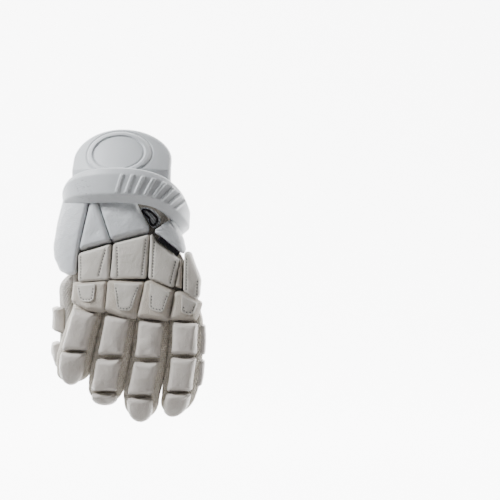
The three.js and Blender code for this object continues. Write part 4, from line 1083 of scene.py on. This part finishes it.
class GLOVE_OT_cuff(bpy.types.Operator):
    """Moulded foam cap and band"""
    bl_idname = "glove.cuff"
    bl_label = "Cuff"

    def execute(self, context):
        sizes, colours = context.scene.glove_sizes, context.scene.glove_colours
        foam = tuple(colours.foam)
        self.cap(sizes.ring_relief / MM, moulded_foam("cap_foam", foam, darker(foam, 0.9)))
        scuffs = (-0.038, (BAND_FRONT - BAND_THICKNESS + 8) * MM, -0.073)
        self.band(sizes.rib_relief / MM, moulded_foam("band_foam", foam, darker(foam, 0.9), scuffs))
        return {"FINISHED"}

    def cap(self, relief, material):
        """A grid round the ring's centre: fine rings out to the ring, then on to the outline."""
        turn = np.linspace(0, np.pi, 61)
        arc = np.column_stack([CAP_WIDTH / 2 * np.cos(turn), CAP_ARC * (np.sin(turn) - 1)])
        foot = -CAP_RISE - CAP_TUCK
        outline = resample(np.vstack([arc, [[-CAP_WIDTH / 2, foot], [CAP_WIDTH / 2, foot]]]), 360)
        pad = Pad(CapFace(), outline, CAP_THICKNESS - 1.0, edge=3.2, crown=0.8, reliefs=[cap_ring(relief)],
                  base=0.0, wall=0.0)
        centre = np.array([EMBLEM_ASIDE, -EMBLEM_DROP])
        rim = outline - centre
        squash = np.array([1.0, EMBLEM_RISE / EMBLEM_RADIUS])
        reach = np.linalg.norm(rim / squash, axis=1)
        ring_share = np.minimum((EMBLEM_RADIUS + 2.5) / reach, 0.93)
        inner = np.linspace(0, 1, 66)[:, None] * ring_share[None]
        steps = 1 - np.linspace(1, 0, 26)[1:, None] ** 1.7
        outer = ring_share[None] + (1 - ring_share[None]) * steps
        keep = np.vstack([inner, outer])
        front_u = centre[0] + rim[None, :, 0] * keep
        front_v = centre[1] + rim[None, :, 1] * keep
        front = pad.top(front_u, front_v)
        walls = np.linspace(0.85, 0.15, 5)[:, None]
        back_keep = np.array([0.985, 0.97, 0.6, 0.0])[:, None]
        edge_u, edge_v = (np.repeat(outline[None, :, k], len(walls), 0) for k in (0, 1))
        u = np.vstack([front_u, edge_u, centre[0] + rim[None, :, 0] * back_keep])
        v = np.vstack([front_v, edge_v, centre[1] + rim[None, :, 1] * back_keep])
        height = np.vstack([front, front[-1:] * walls, np.zeros((4, len(outline)))])
        height[-4] = 0.3
        face = CapFace()
        points = face.place(u, v, face.height(u, v) + height)
        # Painted shade in the grooves either side of the ring.
        crease = np.zeros_like(u)
        crease[:len(front)] = np.clip(-cap_ring(relief)(front_u, front_v, 9.0) - 0.2, 0, 1) * 0.5
        mesh = surface("cuff_cap_skin", points, poles=(True, True), marks={"crease": crease})
        add_piece("cuff_cap_skin", mesh, material, ["cuff_cap"])

    def band(self, relief, material):
        """The section carried along the run. Near the front the steps are fine enough for the ribs, which are
        bands of smooth relief on the upright face."""
        ribs_end = RIB_START + np.degrees((RIB_PITCH * (RIB_COUNT + 1)) / (BAND_WIDTH / 2))
        turns = np.concatenate([
            np.linspace(-88, RIB_START - 12, 90), np.linspace(RIB_START - 12, ribs_end, 190)[1:],
            np.linspace(ribs_end, 118, 70)[1:],
        ])
        section = rounded_outline([(o * BAND_THICKNESS, h * BAND_HEIGHT) for o, h in BAND_SECTION], 1.7, 150)
        section = section * (1 / np.array([BAND_THICKNESS, BAND_HEIGHT]))
        where, out, up = band_frame(turns)
        high = BAND_HEIGHT * read(BAND_RUN[:, [0, 2]], turns)
        thick = BAND_THICKNESS * read(BAND_RUN[:, [0, 3]], turns)
        run = np.concatenate([[0], np.cumsum(np.linalg.norm(np.diff(where, axis=0), axis=1))])
        closing = np.minimum(run, run[-1] - run)
        full = np.sqrt(np.clip(1 - (1 - np.clip(closing / 7, 0, 1)) ** 2, 0, 1))
        middle = np.array([0.5, 0.0])
        shape = middle + (section - middle)[None] * (0.12 + 0.88 * full)[:, None, None]
        rib_run = run - np.interp(RIB_START, turns, run)
        rise = (shape[..., 1] * high[:, None]) - RIB_LIFT
        slant = rib_run[:, None] - rise * np.tan(RIB_TILT)
        step = RIB_PITCH * 1.08
        index = np.clip(np.round(slant / step), 0, RIB_COUNT - 1)
        aside = np.abs(slant - index * step)
        ribs = smoothstep(RIB_WIDTH * 0.85, RIB_WIDTH * 0.35, aside)
        ribs *= smoothstep(RIB_LENGTH / 2 + 0.6, RIB_LENGTH / 2 - 0.8, np.abs(rise))
        ribs *= smoothstep(0.6, 0.9, shape[..., 0])
        crown = 0.5 * (1 - (2 * shape[..., 1]) ** 2) * smoothstep(0.6, 0.95, shape[..., 0])
        reach = shape[..., 0] * thick[:, None] + ribs * relief + crown
        points = (where[:, None] + out[:, None] * reach[..., None]
                  + up[:, None] * (shape[..., 1] * high[:, None])[..., None])
        # Painted shade on the band's inner face.
        crease = np.clip(smoothstep(0.25, 0.0, shape[..., 0]), 0, 1) * 0.6
        mesh = surface("cuff_band_skin", points, poles=(True, True), marks={"crease": crease})
        add_piece("cuff_band_skin", mesh, material, ["cuff_band"])


def band_frame(turns):
    """Place, outward and upward directions of the band: an ellipse round the cuff that sinks as it goes."""
    def at(turn):
        angle = np.radians(turn)
        return np.stack([
            BAND_OFFSET + (BAND_WIDTH / 2 - BAND_THICKNESS) * np.sin(angle),
            BAND_CENTRE - (BAND_DEPTH / 2 - BAND_THICKNESS) * np.cos(angle),
            BAND_LEVEL - BAND_DROP * read(BAND_RUN[:, [0, 1]], turn),
        ], axis=-1)

    along = at(turns + 1) - at(turns - 1)
    along /= np.linalg.norm(along, axis=-1, keepdims=True)
    out = np.stack([along[:, 1], -along[:, 0], 0 * along[:, 0]], axis=-1)
    out /= np.linalg.norm(out, axis=-1, keepdims=True)
    up = np.cross(out, along)
    up *= np.sign(up[:, 2:])
    return at(turns), out, up


def super_ring(centre, a, b, square, turn):
    """Points of super-ellipses: a and b are half axes, and cosine and sine are raised to 2 / square."""
    cos, sin = np.cos(turn), np.sin(turn)
    power = 2 / square
    x = centre[0] + a * np.sign(cos) * np.abs(cos) ** power
    y = centre[1] + b * np.sign(sin) * np.abs(sin) ** power
    return x, y


def liner_grid(turns, downs):
    """The liner's skin between two angles (0 is the little-finger side, 90 degrees the palm)."""
    down, turn = np.meshgrid(downs, turns, indexing="ij")
    centre, half, depth, square, slant = liner_section(down)
    x, y = super_ring((centre, LINER_FRONT + depth / 2), half, depth / 2, square, turn)
    fall = -ROOT_SLANT * (x - across(ROOT_OFFSET / HAND_WIDTH)) / HAND_WIDTH
    z = level(down) + slant * fall
    return np.stack([x, y, z], axis=-1), down, turn


def map_grid(points):
    """Own map of a grid in millimetres: the length along each row and down each column."""
    step_u = np.linalg.norm(np.diff(points, axis=1), axis=-1)
    step_v = np.linalg.norm(np.diff(points, axis=0), axis=-1)
    u = np.concatenate([np.zeros((len(points), 1)), np.cumsum(step_u, axis=1)], axis=1)
    v = np.concatenate([np.zeros((1, points.shape[1])), np.cumsum(step_v, axis=0)], axis=0)
    return np.stack([u - u.mean(axis=1, keepdims=True), v], axis=-1)


class GLOVE_OT_liner(bpy.types.Operator):
    """Knitted liner, palm leather and the closure strap"""
    bl_idname = "glove.liner"
    bl_label = "Liner"

    def execute(self, context):
        colours = context.scene.glove_colours
        self.back(knit_cloth("liner_knit", darker(colours.mesh, 0.8), darker(colours.mesh, 0.5), 1.9))
        self.palm(leather("palm_leather", tuple(colours.palm), darker(colours.palm), 0.62))
        self.strap(black_tape("strap_tape"))
        return {"FINISHED"}

    def back(self, material):
        turns = np.linspace(np.pi + 0.05, 2 * np.pi - 0.05, 90)
        points, down, _ = liner_grid(turns, np.linspace(-0.13, 1, 90))
        front = points[..., 1] < SIDE_SEAM - GAP
        points[..., 1] = np.minimum(points[..., 1], SIDE_SEAM - GAP)
        points[..., 1] += 0.25 * ripple(points[..., 0], points[..., 2], 31, 14) * front
        points[..., 1] += GAP
        # The whole back liner carries painted shade, as it lies under the pads.
        mesh = surface("back_liner_cloth", points, closed=False, uv=map_grid(points),
                       marks={"crease": 0.35 + 0 * down}, outward=(5, 25, -150))
        thicken(add_piece("back_liner_cloth", mesh, material, ["back_liner"]), LINER_WALL)

    def palm(self, material):
        turns = np.linspace(-0.02, np.pi + 0.02, 150)
        points, down, turn = liner_grid(turns, np.linspace(-0.13, 1, 150))
        points[..., 1] = np.maximum(points[..., 1], SIDE_SEAM + GAP)
        x, z = points[..., 0], points[..., 2]
        inner = smoothstep(0, 0.35, np.sin(turn))
        folds = 0.9 * np.exp(-((z + 150 + 0.25 * x) / 3.0) ** 2)
        folds += 0.8 * np.exp(-((z + 178 - 0.12 * x) / 2.6) ** 2)
        folds += 0.7 * np.exp(-((x + 22 + 0.35 * (z + 150)) / 2.4) ** 2) * smoothstep(-112, -125, z)
        relief = inner * (0.8 * ripple(x, z, 41, 26) + 0.25 * ripple(x, z, 42, 8) - 1.3 * folds)
        hem = -0.8 * np.exp(-((down + 0.1) / 0.012) ** 2)
        points[..., 1] += relief + hem * inner
        # Painted shade in the palm's folds and along the hem.
        crease = np.clip(folds * inner * 0.22 + 0.3 * np.exp(-((down + 0.1) / 0.01) ** 2), 0, 0.6)
        mesh = surface("palm_panel", points, closed=False, uv=map_grid(points),
                       marks={"crease": crease, "edge": 0 * down}, outward=(5, 0, -150))
        thicken(add_piece("palm_panel", mesh, material, ["palm_leather"]), LINER_WALL)

    def strap(self, material):
        """A flat strip that follows the liner's section, standing off it."""
        turns = np.linspace(66, 282, 130)
        sink = read(STRAP_RUN[:, [0, 2]], turns)
        off = STRAP_STANDOFF * read(STRAP_RUN[:, [0, 1]], turns)
        z = CUFF_EDGE + STRAP_WIDTH / 2 - STRAP_WIDTH * sink
        centre, half, depth, square, _ = liner_section((CUFF_EDGE - z) / HAND_LENGTH)
        angle = np.radians(turns)
        side = np.sign(np.sin(angle)) * np.abs(np.sin(angle)) ** (2 / square)
        front = -np.sign(np.cos(angle)) * np.abs(np.cos(angle)) ** (2 / square)
        t = STRAP_THICKNESS
        outline = rounded_outline([(0, -STRAP_WIDTH / 2), (t, -STRAP_WIDTH / 2), (t, STRAP_WIDTH / 2),
                                   (0, STRAP_WIDTH / 2)], 0.7, 44)
        extra = outline[None, :, 0] + 0.6
        x = centre[:, None] + (half + off)[:, None] * side[:, None] + extra * side[:, None]
        y = ((LINER_FRONT + depth / 2)[:, None] + (depth / 2 + off)[:, None] * front[:, None]
             + extra * front[:, None])
        points = np.stack([x, y, z[:, None] + outline[None, :, 1] + 0 * x], axis=-1)
        mesh = surface("closure_strap_tape", points, poles=(True, True))
        add_piece("closure_strap_tape", mesh, material, ["closure_strap"])


class GLOVE_OT_wrist_pads(bpy.types.Operator):
    """Pads below the band, the mesh window with its piping, and the small tab"""
    bl_idname = "glove.wrist_pads"
    bl_label = "Wrist Pads"

    def execute(self, context):
        sizes, colours = context.scene.glove_sizes, context.scene.glove_colours
        hide = leather("wrist_leather", darker(colours.foam, 1.12), darker(colours.foam, 0.9), 0.42)
        for k, (name, corners) in enumerate(WRIST_PADS.items()):
            reliefs = [lumps(k, 30, 0.7), lumps(20 + k, 9, 0.12), *self.folds(name)]
            swell = 0.0 if name == "thumb_side_wrist_pad" else PAD_SWELL
            outline = grown(rounded_outline(hand_points(corners), PAD_CORNER, 300, bow=0.3), swell)
            thick = PAD_THICKNESS - sizes.pad_crown / MM
            pad = Pad(HandFace(), outline, thick, sizes.pad_edge / MM, sizes.pad_crown / MM, reliefs)
            add_pad(name, pad, hide, 44)
        self.window(colours)
        self.tab()
        return {"FINISHED"}

    def folds(self, name):
        """The feet of the hood and the wedge turn under, and the pad beside the tab is pleated."""
        if name == "hood_pad":
            return [
                underside(hand_points([(-0.115, 0.36), (0.0, 0.325), (0.17, 0.285)]), 7.5, 9.0),
                underside(hand_points([(-0.26, -0.13), (0.05, -0.13)]), 4.0, 20.0),
                groove(hand_points([(-0.19, 0.06), (-0.07, 0.07)]), 0.5, 2.5),
            ]
        if name == "wedge_pad":
            return [underside(hand_points([(-0.37, 0.432), (-0.12, 0.355)]), 6.0, 6.5)]
        if name == "little_finger_side_wrist_pad":
            start = hand_points([(0.206, 0.245), (0.25, 0.2), (0.315, 0.16)])
            ends = hand_points([(0.30, 0.23), (0.33, 0.27), (0.37, 0.26)])
            return [pleat(tuple(a), tuple(b), 1.5, 1.1, 14) for a, b in zip(start, ends)]
        return []

    def window(self, colours):
        knit = knit_cloth("window_knit", darker(colours.foam, 0.8), darker(colours.foam, 0.3), 2.6)
        outline = rounded_outline(hand_points(WINDOW_OUTLINE), 3.0, 220)
        pad = Pad(HandFace(), outline, WINDOW_THICKNESS, 1.6, 0.4, [lumps(61, 10, 0.25)])
        mesh = pad.mesh("mesh_window_cloth", rings=30)
        flat = np.empty(len(mesh.vertices) * 3, np.float32)
        mesh.vertices.foreach_get("co", flat)
        corner = np.empty(len(mesh.loops), np.int32)
        mesh.loops.foreach_get("vertex_index", corner)
        layer = mesh.uv_layers.new(name="UVMap")
        layer.data.foreach_set("uv", (flat.reshape(-1, 3)[corner][:, [0, 2]] / MM).ravel())
        add_piece("mesh_window_cloth", mesh, knit, ["mesh_window"])
        centre = outline.mean(axis=0)
        inward = centre - outline
        path = outline + inward / np.linalg.norm(inward, axis=1, keepdims=True) * PIPING_INSET
        tangent = np.roll(path, -1, axis=0) - np.roll(path, 1, axis=0)
        tangent /= np.linalg.norm(tangent, axis=1, keepdims=True)
        turn = np.linspace(0, 2 * np.pi, 14, endpoint=False)
        aside, rise = PIPING_RADIUS * np.cos(turn), PIPING_RADIUS * np.sin(turn)
        u = path[:, None, 0] + tangent[:, None, 1] * aside[None]
        v = path[:, None, 1] - tangent[:, None, 0] * aside[None]
        face = HandFace()
        base = face.height(path[:, 0], path[:, 1]) + pad.top(path[:, 0], path[:, 1]) + PIPING_RADIUS * 0.9
        points = face.place(u, v, base[:, None] + rise[None] + 0 * u)
        mesh = surface("window_piping_cord", np.concatenate([points, points[:1]]))
        tape = black_tape("piping_tape", 0.0009)
        add_piece("window_piping_cord", mesh, tape, ["window_piping"])

    def tab(self):
        outline = rounded_outline(hand_points(TAB_OUTLINE), 0.8, 160)
        pad = Pad(HandFace(), outline, TAB_HEIGHT + TAB_THICKNESS, 0.5, 0.1, [lumps(71, 9, 0.2)],
                  base=TAB_HEIGHT, wall=0.0)
        add_piece("label_tab_tape", pad.mesh("label_tab_tape", rings=18, walls=4), black_tape("tab_tape"),
                  ["label_tab"])


class GLOVE_OT_hand_pads(bpy.types.Operator):
    """Metacarpal pads with their sewn lines, the wedge gusset, and the knuckle pads with their patches"""
    bl_idname = "glove.hand_pads"
    bl_label = "Hand Pads"

    def execute(self, context):
        sizes, colours = context.scene.glove_sizes, context.scene.glove_colours
        crown, edge, pitch = sizes.pad_crown / MM, sizes.pad_edge / MM, sizes.stitch_pitch / MM
        hide = leather("hand_leather", tuple(colours.leather), darker(colours.leather, 0.86), 0.5)
        grained = nubuck("knuckle_nubuck", tuple(colours.nubuck), darker(colours.nubuck, 0.78))
        sewn = thread("grey_thread", tuple(colours.thread))
        rows = []
        for k, (name, corners) in enumerate(METACARPAL_PADS.items()):
            lines = [hand_points(line) for line in METACARPAL_LINES[name]]
            reliefs = [lumps(80 + k, 26, 0.5), lumps(90 + k, 8, 0.1)]
            for line in lines:
                reliefs += [groove(line, 0.75, 1.1), puckers(line, 0.3, pitch, 1.6)]
            outline = grown(rounded_outline(hand_points(corners), PAD_CORNER, 300, bow=0.2), PAD_SWELL)
            pad = Pad(HandFace(), outline, PAD_THICKNESS - crown, edge * 0.7, crown, reliefs, wall=1.1)
            add_pad(name, pad, hide, 46)
            rows += [stitch_frames(pad, line, pitch, 0.1) for line in lines]
        add_stitches("metacarpal_stitches", rows, sewn, 1.4, 0.72)
        self.gusset(colours)
        rows = []
        for k, ((name, corners), (patch_name, patch_corners)) in enumerate(
                zip(KNUCKLE_PADS.items(), KNUCKLE_PATCHES.items())):
            outline = grown(rounded_outline(hand_points(corners), PAD_CORNER, 300, bow=0.2), PAD_SWELL)
            reliefs = [lumps(100 + k, 22, 0.6), underside(hand_points(corners[2:]), 3.0, 5.0)]
            pad = Pad(HandFace(), outline, PAD_THICKNESS - crown, edge, crown, reliefs, wall=1.1)
            skin = pad.mesh(f"{name}_leather", rings=44)
            add_piece(f"{name}_leather", skin, grained, [name])
            rows += self.patch(patch_name, patch_corners, pad, hide, pitch)
        add_stitches("knuckle_stitches", rows, sewn, 1.4, 0.7)
        return {"FINISHED"}

    def patch(self, name, corners, pad, hide, pitch):
        """A thin cover that lies on the knuckle pad, with a row of stitches inside its sides and foot."""
        shape = hand_points(corners)
        outline = rounded_outline(shape, [2.0, 2.0, 6.0, 6.0], 280)
        middle = shape.mean(axis=0)
        inset = outline + (middle - outline) * (2.6 / np.linalg.norm(middle - outline, axis=1))[:, None]
        top_edge = np.minimum(shape[0, 1], shape[1, 1]) - 1.0
        order = np.arange(len(inset))
        keep = inset[:, 1] < top_edge - 1.5
        start = np.argmax(keep & ~np.roll(keep, 1))
        path = inset[np.roll(order, -start)][:int(keep.sum())]
        cover = Pad(pad.face, outline, GAP + PATCH_THICKNESS, 0.9, 0.0,
                    [lambda u, v, d: pad.top(u, v), groove(path, 0.45, 1.0), puckers(path, 0.2, pitch, 1.2)],
                    wall=0.0)
        cover.base = PAD_THICKNESS - 1.0
        mesh = cover.mesh(f"{name}_leather", rings=40, walls=4)
        add_piece(f"{name}_leather", mesh, hide, [name])
        return [stitch_frames(cover, path, pitch, 0.1)]

    def gusset(self, colours):
        outline = rounded_outline(hand_points(WEDGE_GUSSET_OUTLINE), 2.0, 200)
        pad = Pad(HandFace(), outline, GUSSET_THICKNESS + 3, 3.0, 1.5, [lumps(111, 8, 0.3)])
        grained = nubuck("gusset_grain", darker(colours.nubuck, 0.95), darker(colours.nubuck, 0.7))
        mesh = pad.mesh("wedge_gusset_cloth", rings=30)
        add_piece("wedge_gusset_cloth", mesh, grained, ["wedge_gusset"])


def stall_mesh(limb, name, wall, seed):
    """A stall: super-elliptic rings along the limb, closed at the tip by a rounded end and open at the root.
    The inner skin lies a wall inside the outer one. The sides puff between their seams, and the palm side is
    marked."""
    late = np.linspace(-0.15, 0.8, 84)
    cap = 0.8 + 0.2 * np.sin(np.linspace(0, np.pi / 2, 26))[1:]
    share = np.concatenate([late, cap])
    end = np.sqrt(np.clip(1 - ((share - 0.8) / 0.2).clip(0, 1) ** 2.4, 0, 1))
    body = np.minimum(share, 0.8)
    half_u = limb.half_width(body) * end
    half_v = limb.half_depth(body) * end
    turn = np.linspace(0, 2 * np.pi, 168, endpoint=False)
    turn_grid, share_grid = np.meshgrid(turn, share)
    rows = []
    for inset in (0.0, wall):
        a = np.maximum(half_u - inset, 0.02)[:, None]
        b = np.maximum(half_v - inset, 0.02)[:, None]
        u, out = super_ring((0, 0), a, b, STALL_SQUARE, turn_grid)
        if inset == 0:
            swell = 0.8 * np.abs(np.cos(turn_grid)) ** 2 * smoothstep(-0.12, 0.02, share_grid)
            wrinkle = 0.25 * ripple(turn_grid * 16, share_grid * limb.length, seed, 11)
            seam = -0.7 * np.exp(-((out + 1.5) / 1.1) ** 2)
            grow = (swell + wrinkle + seam) * end[:, None]
            length = np.maximum(np.hypot(u, out), 1e-6)
            u, out = u * (1 + grow / length), out * (1 + grow / length)
            outer_out = out
        rows.append(limb.local(u, out, share_grid - inset / limb.length * (share_grid > 0.8)))
    skin = rows[0]
    wrapped = np.concatenate([skin, skin[:, :1]], axis=1)
    uv_outer = map_grid(wrapped)
    points = np.concatenate([rows[1][::-1], skin])
    uv = np.concatenate([uv_outer[::-1], uv_outer])
    palm_outer = smoothstep(-0.5, -2.5, outer_out)
    # Painted shade: along the side seam's groove outside, and all over the inner skin.
    painted_shade_outer = 0.5 * np.exp(-((outer_out + 1.5) / 0.8) ** 2)
    palm = np.concatenate([np.ones_like(palm_outer), palm_outer])
    crease = np.concatenate([0.5 + 0 * palm_outer, painted_shade_outer])
    return surface(name, points, poles=(True, True), uv=uv, marks={"palm": palm, "crease": crease})


def limb_pad(limb, span, width, thickness, sizes, seed, on_side=False):
    """A pad on a finger or the thumb between two shares of its length, with pleated corners. A tip pad ends
    in a half ellipse and thins towards it."""
    top, bottom = limb.root[2] - limb.length * span[0], limb.root[2] - limb.length * span[1]
    half = width / 2
    tip = span[1] > 0.99
    corners = [(-half, top + span[2] * width), (half, top), (half, bottom), (-half, bottom)]
    if tip:
        spring = top + 0.4 * (bottom - top)
        turn = np.linspace(0, -np.pi, 40)
        arc = np.column_stack([half * np.cos(turn), spring + (spring - bottom) * np.sin(turn)])
        head = [(-half, top - 3), (-half + 0.9, top - 0.9), (-half + 3, top)]
        head += [(-u, v) for u, v in reversed(head)]
        outline = resample(np.vstack([head, arc]), 280)
        folded = (0, 1)
    else:
        outline = rounded_outline(corners, PAD_CORNER * 1.2, 280, bow=0.7)
        folded = (0, 1, 2, 3)
    crown = min(sizes.pad_crown / MM, thickness * 0.1)
    edge = min(sizes.pad_edge / MM * 1.15, thickness * 0.45)
    small = thickness < 6
    reliefs = [lumps(seed, 20, 0.15 if small else 0.7), lumps(seed + 1, 7, 0.12)]
    reliefs += corner_pleats(corners, folded, seed + 2, 0.4 if small else 1.5, 6 if small else 9)
    if not tip and not small:
        reliefs.append(underside([(-half, bottom - 0.5), (half, bottom - 0.5)], 6.0, 6.5))
    pad = Pad(LimbFace(limb, on_side), outline, thickness - crown, edge, crown, reliefs,
              taper=TIP_TAPER if tip else 0.0)
    return pad


class GLOVE_OT_fingers(bpy.types.Operator):
    """Finger stalls with the pads on their backs and the thin pads beside the little finger"""
    bl_idname = "glove.fingers"
    bl_label = "Fingers"

    def execute(self, context):
        sizes, colours = context.scene.glove_sizes, context.scene.glove_colours
        fingers, _ = make_limbs()
        cloth = mesh_cloth("stall_mesh", tuple(colours.mesh), darker(colours.mesh, 0.56),
                           sizes.mesh_pitch / MM, tuple(colours.palm))
        stain = ((-0.0452, -0.036, -0.236), 0.007, (0.45, 0.37, 0.2), 0.5)
        hide = leather("finger_leather", tuple(colours.finger_leather), darker(colours.finger_leather, 0.86),
                       0.48, stains=[stain])
        for i, finger in enumerate(fingers):
            name = f"{finger.name}_stall"
            mesh = stall_mesh(finger, f"{name}_cloth", STALL_WALL, 120 + i)
            add_piece(f"{name}_cloth", mesh, cloth, [name])
            for k, span in enumerate(finger.spans):
                node = f"{finger.name}_pad_{k + 1}"
                seed = 200 + 20 * i + 5 * k
                pad = limb_pad(finger, span, FINGER_PAD_WIDTH, FINGER_PAD_THICKNESS, sizes, seed)
                add_pad(node, pad, hide, 42)
        for k, span in enumerate(SIDE_PADS):
            node = f"little_finger_side_pad_{k + 1}"
            pad = limb_pad(fingers[3], span, SIDE_PAD_WIDTH, SIDE_PAD_THICKNESS, sizes, 300 + 5 * k, True)
            add_pad(node, pad, hide, 30)
        return {"FINISHED"}


class GLOVE_OT_thumb(bpy.types.Operator):
    """Thumb stall and its pads"""
    bl_idname = "glove.thumb"
    bl_label = "Thumb"

    def execute(self, context):
        sizes, colours = context.scene.glove_sizes, context.scene.glove_colours
        _, thumb = make_limbs()
        cloth = mesh_cloth("thumb_mesh", tuple(colours.leather), darker(colours.leather, 0.6),
                           sizes.mesh_pitch / MM, tuple(colours.palm))
        hide = leather("thumb_leather", tuple(colours.finger_leather), darker(colours.finger_leather, 0.86),
                       0.48)
        mesh = stall_mesh(thumb, "thumb_stall_cloth", STALL_WALL, 140)
        add_piece("thumb_stall_cloth", mesh, cloth, ["thumb_stall"])
        for k, span in enumerate(thumb.spans):
            node = f"thumb_pad_{k + 1}"
            pad = limb_pad(thumb, span, THUMB_PAD_WIDTH, THUMB_PAD_THICKNESS, sizes, 340 + 5 * k)
            add_pad(node, pad, hide, 40)
        return {"FINISHED"}


class GLOVE_PT_panel(bpy.types.Panel):
    """Lists the glove's sizes, colours and pieces"""
    bl_idname = "GLOVE_PT_panel"
    bl_label = "Lacrosse Glove"
    bl_space_type = "VIEW_3D"
    bl_region_type = "UI"
    bl_category = "Glove"

    def draw(self, context):
        for group in (context.scene.glove_sizes, context.scene.glove_colours):
            for name in group.bl_rna.properties.keys():
                if name not in ("rna_type", "name"):
                    self.layout.prop(group, name)
        for operator in OPERATORS:
            self.layout.operator(operator.bl_idname)


OPERATORS = (GLOVE_OT_stage, GLOVE_OT_cuff, GLOVE_OT_liner, GLOVE_OT_wrist_pads, GLOVE_OT_hand_pads,
             GLOVE_OT_fingers, GLOVE_OT_thumb)
CLASSES = (GloveSizes, GloveColours, *OPERATORS, GLOVE_PT_panel)


def register():
    for cls in CLASSES:
        bpy.utils.register_class(cls)
    bpy.types.Scene.glove_sizes = PointerProperty(type=GloveSizes)
    bpy.types.Scene.glove_colours = PointerProperty(type=GloveColours)


def unregister():
    del bpy.types.Scene.glove_colours
    del bpy.types.Scene.glove_sizes
    for cls in reversed(CLASSES):
        bpy.utils.unregister_class(cls)


def main():
    register()
    bpy.ops.glove.stage()
    bpy.ops.glove.cuff()
    bpy.ops.glove.liner()
    bpy.ops.glove.wrist_pads()
    bpy.ops.glove.hand_pads()
    bpy.ops.glove.fingers()
    bpy.ops.glove.thumb()


if __name__ == "__main__":
    main()
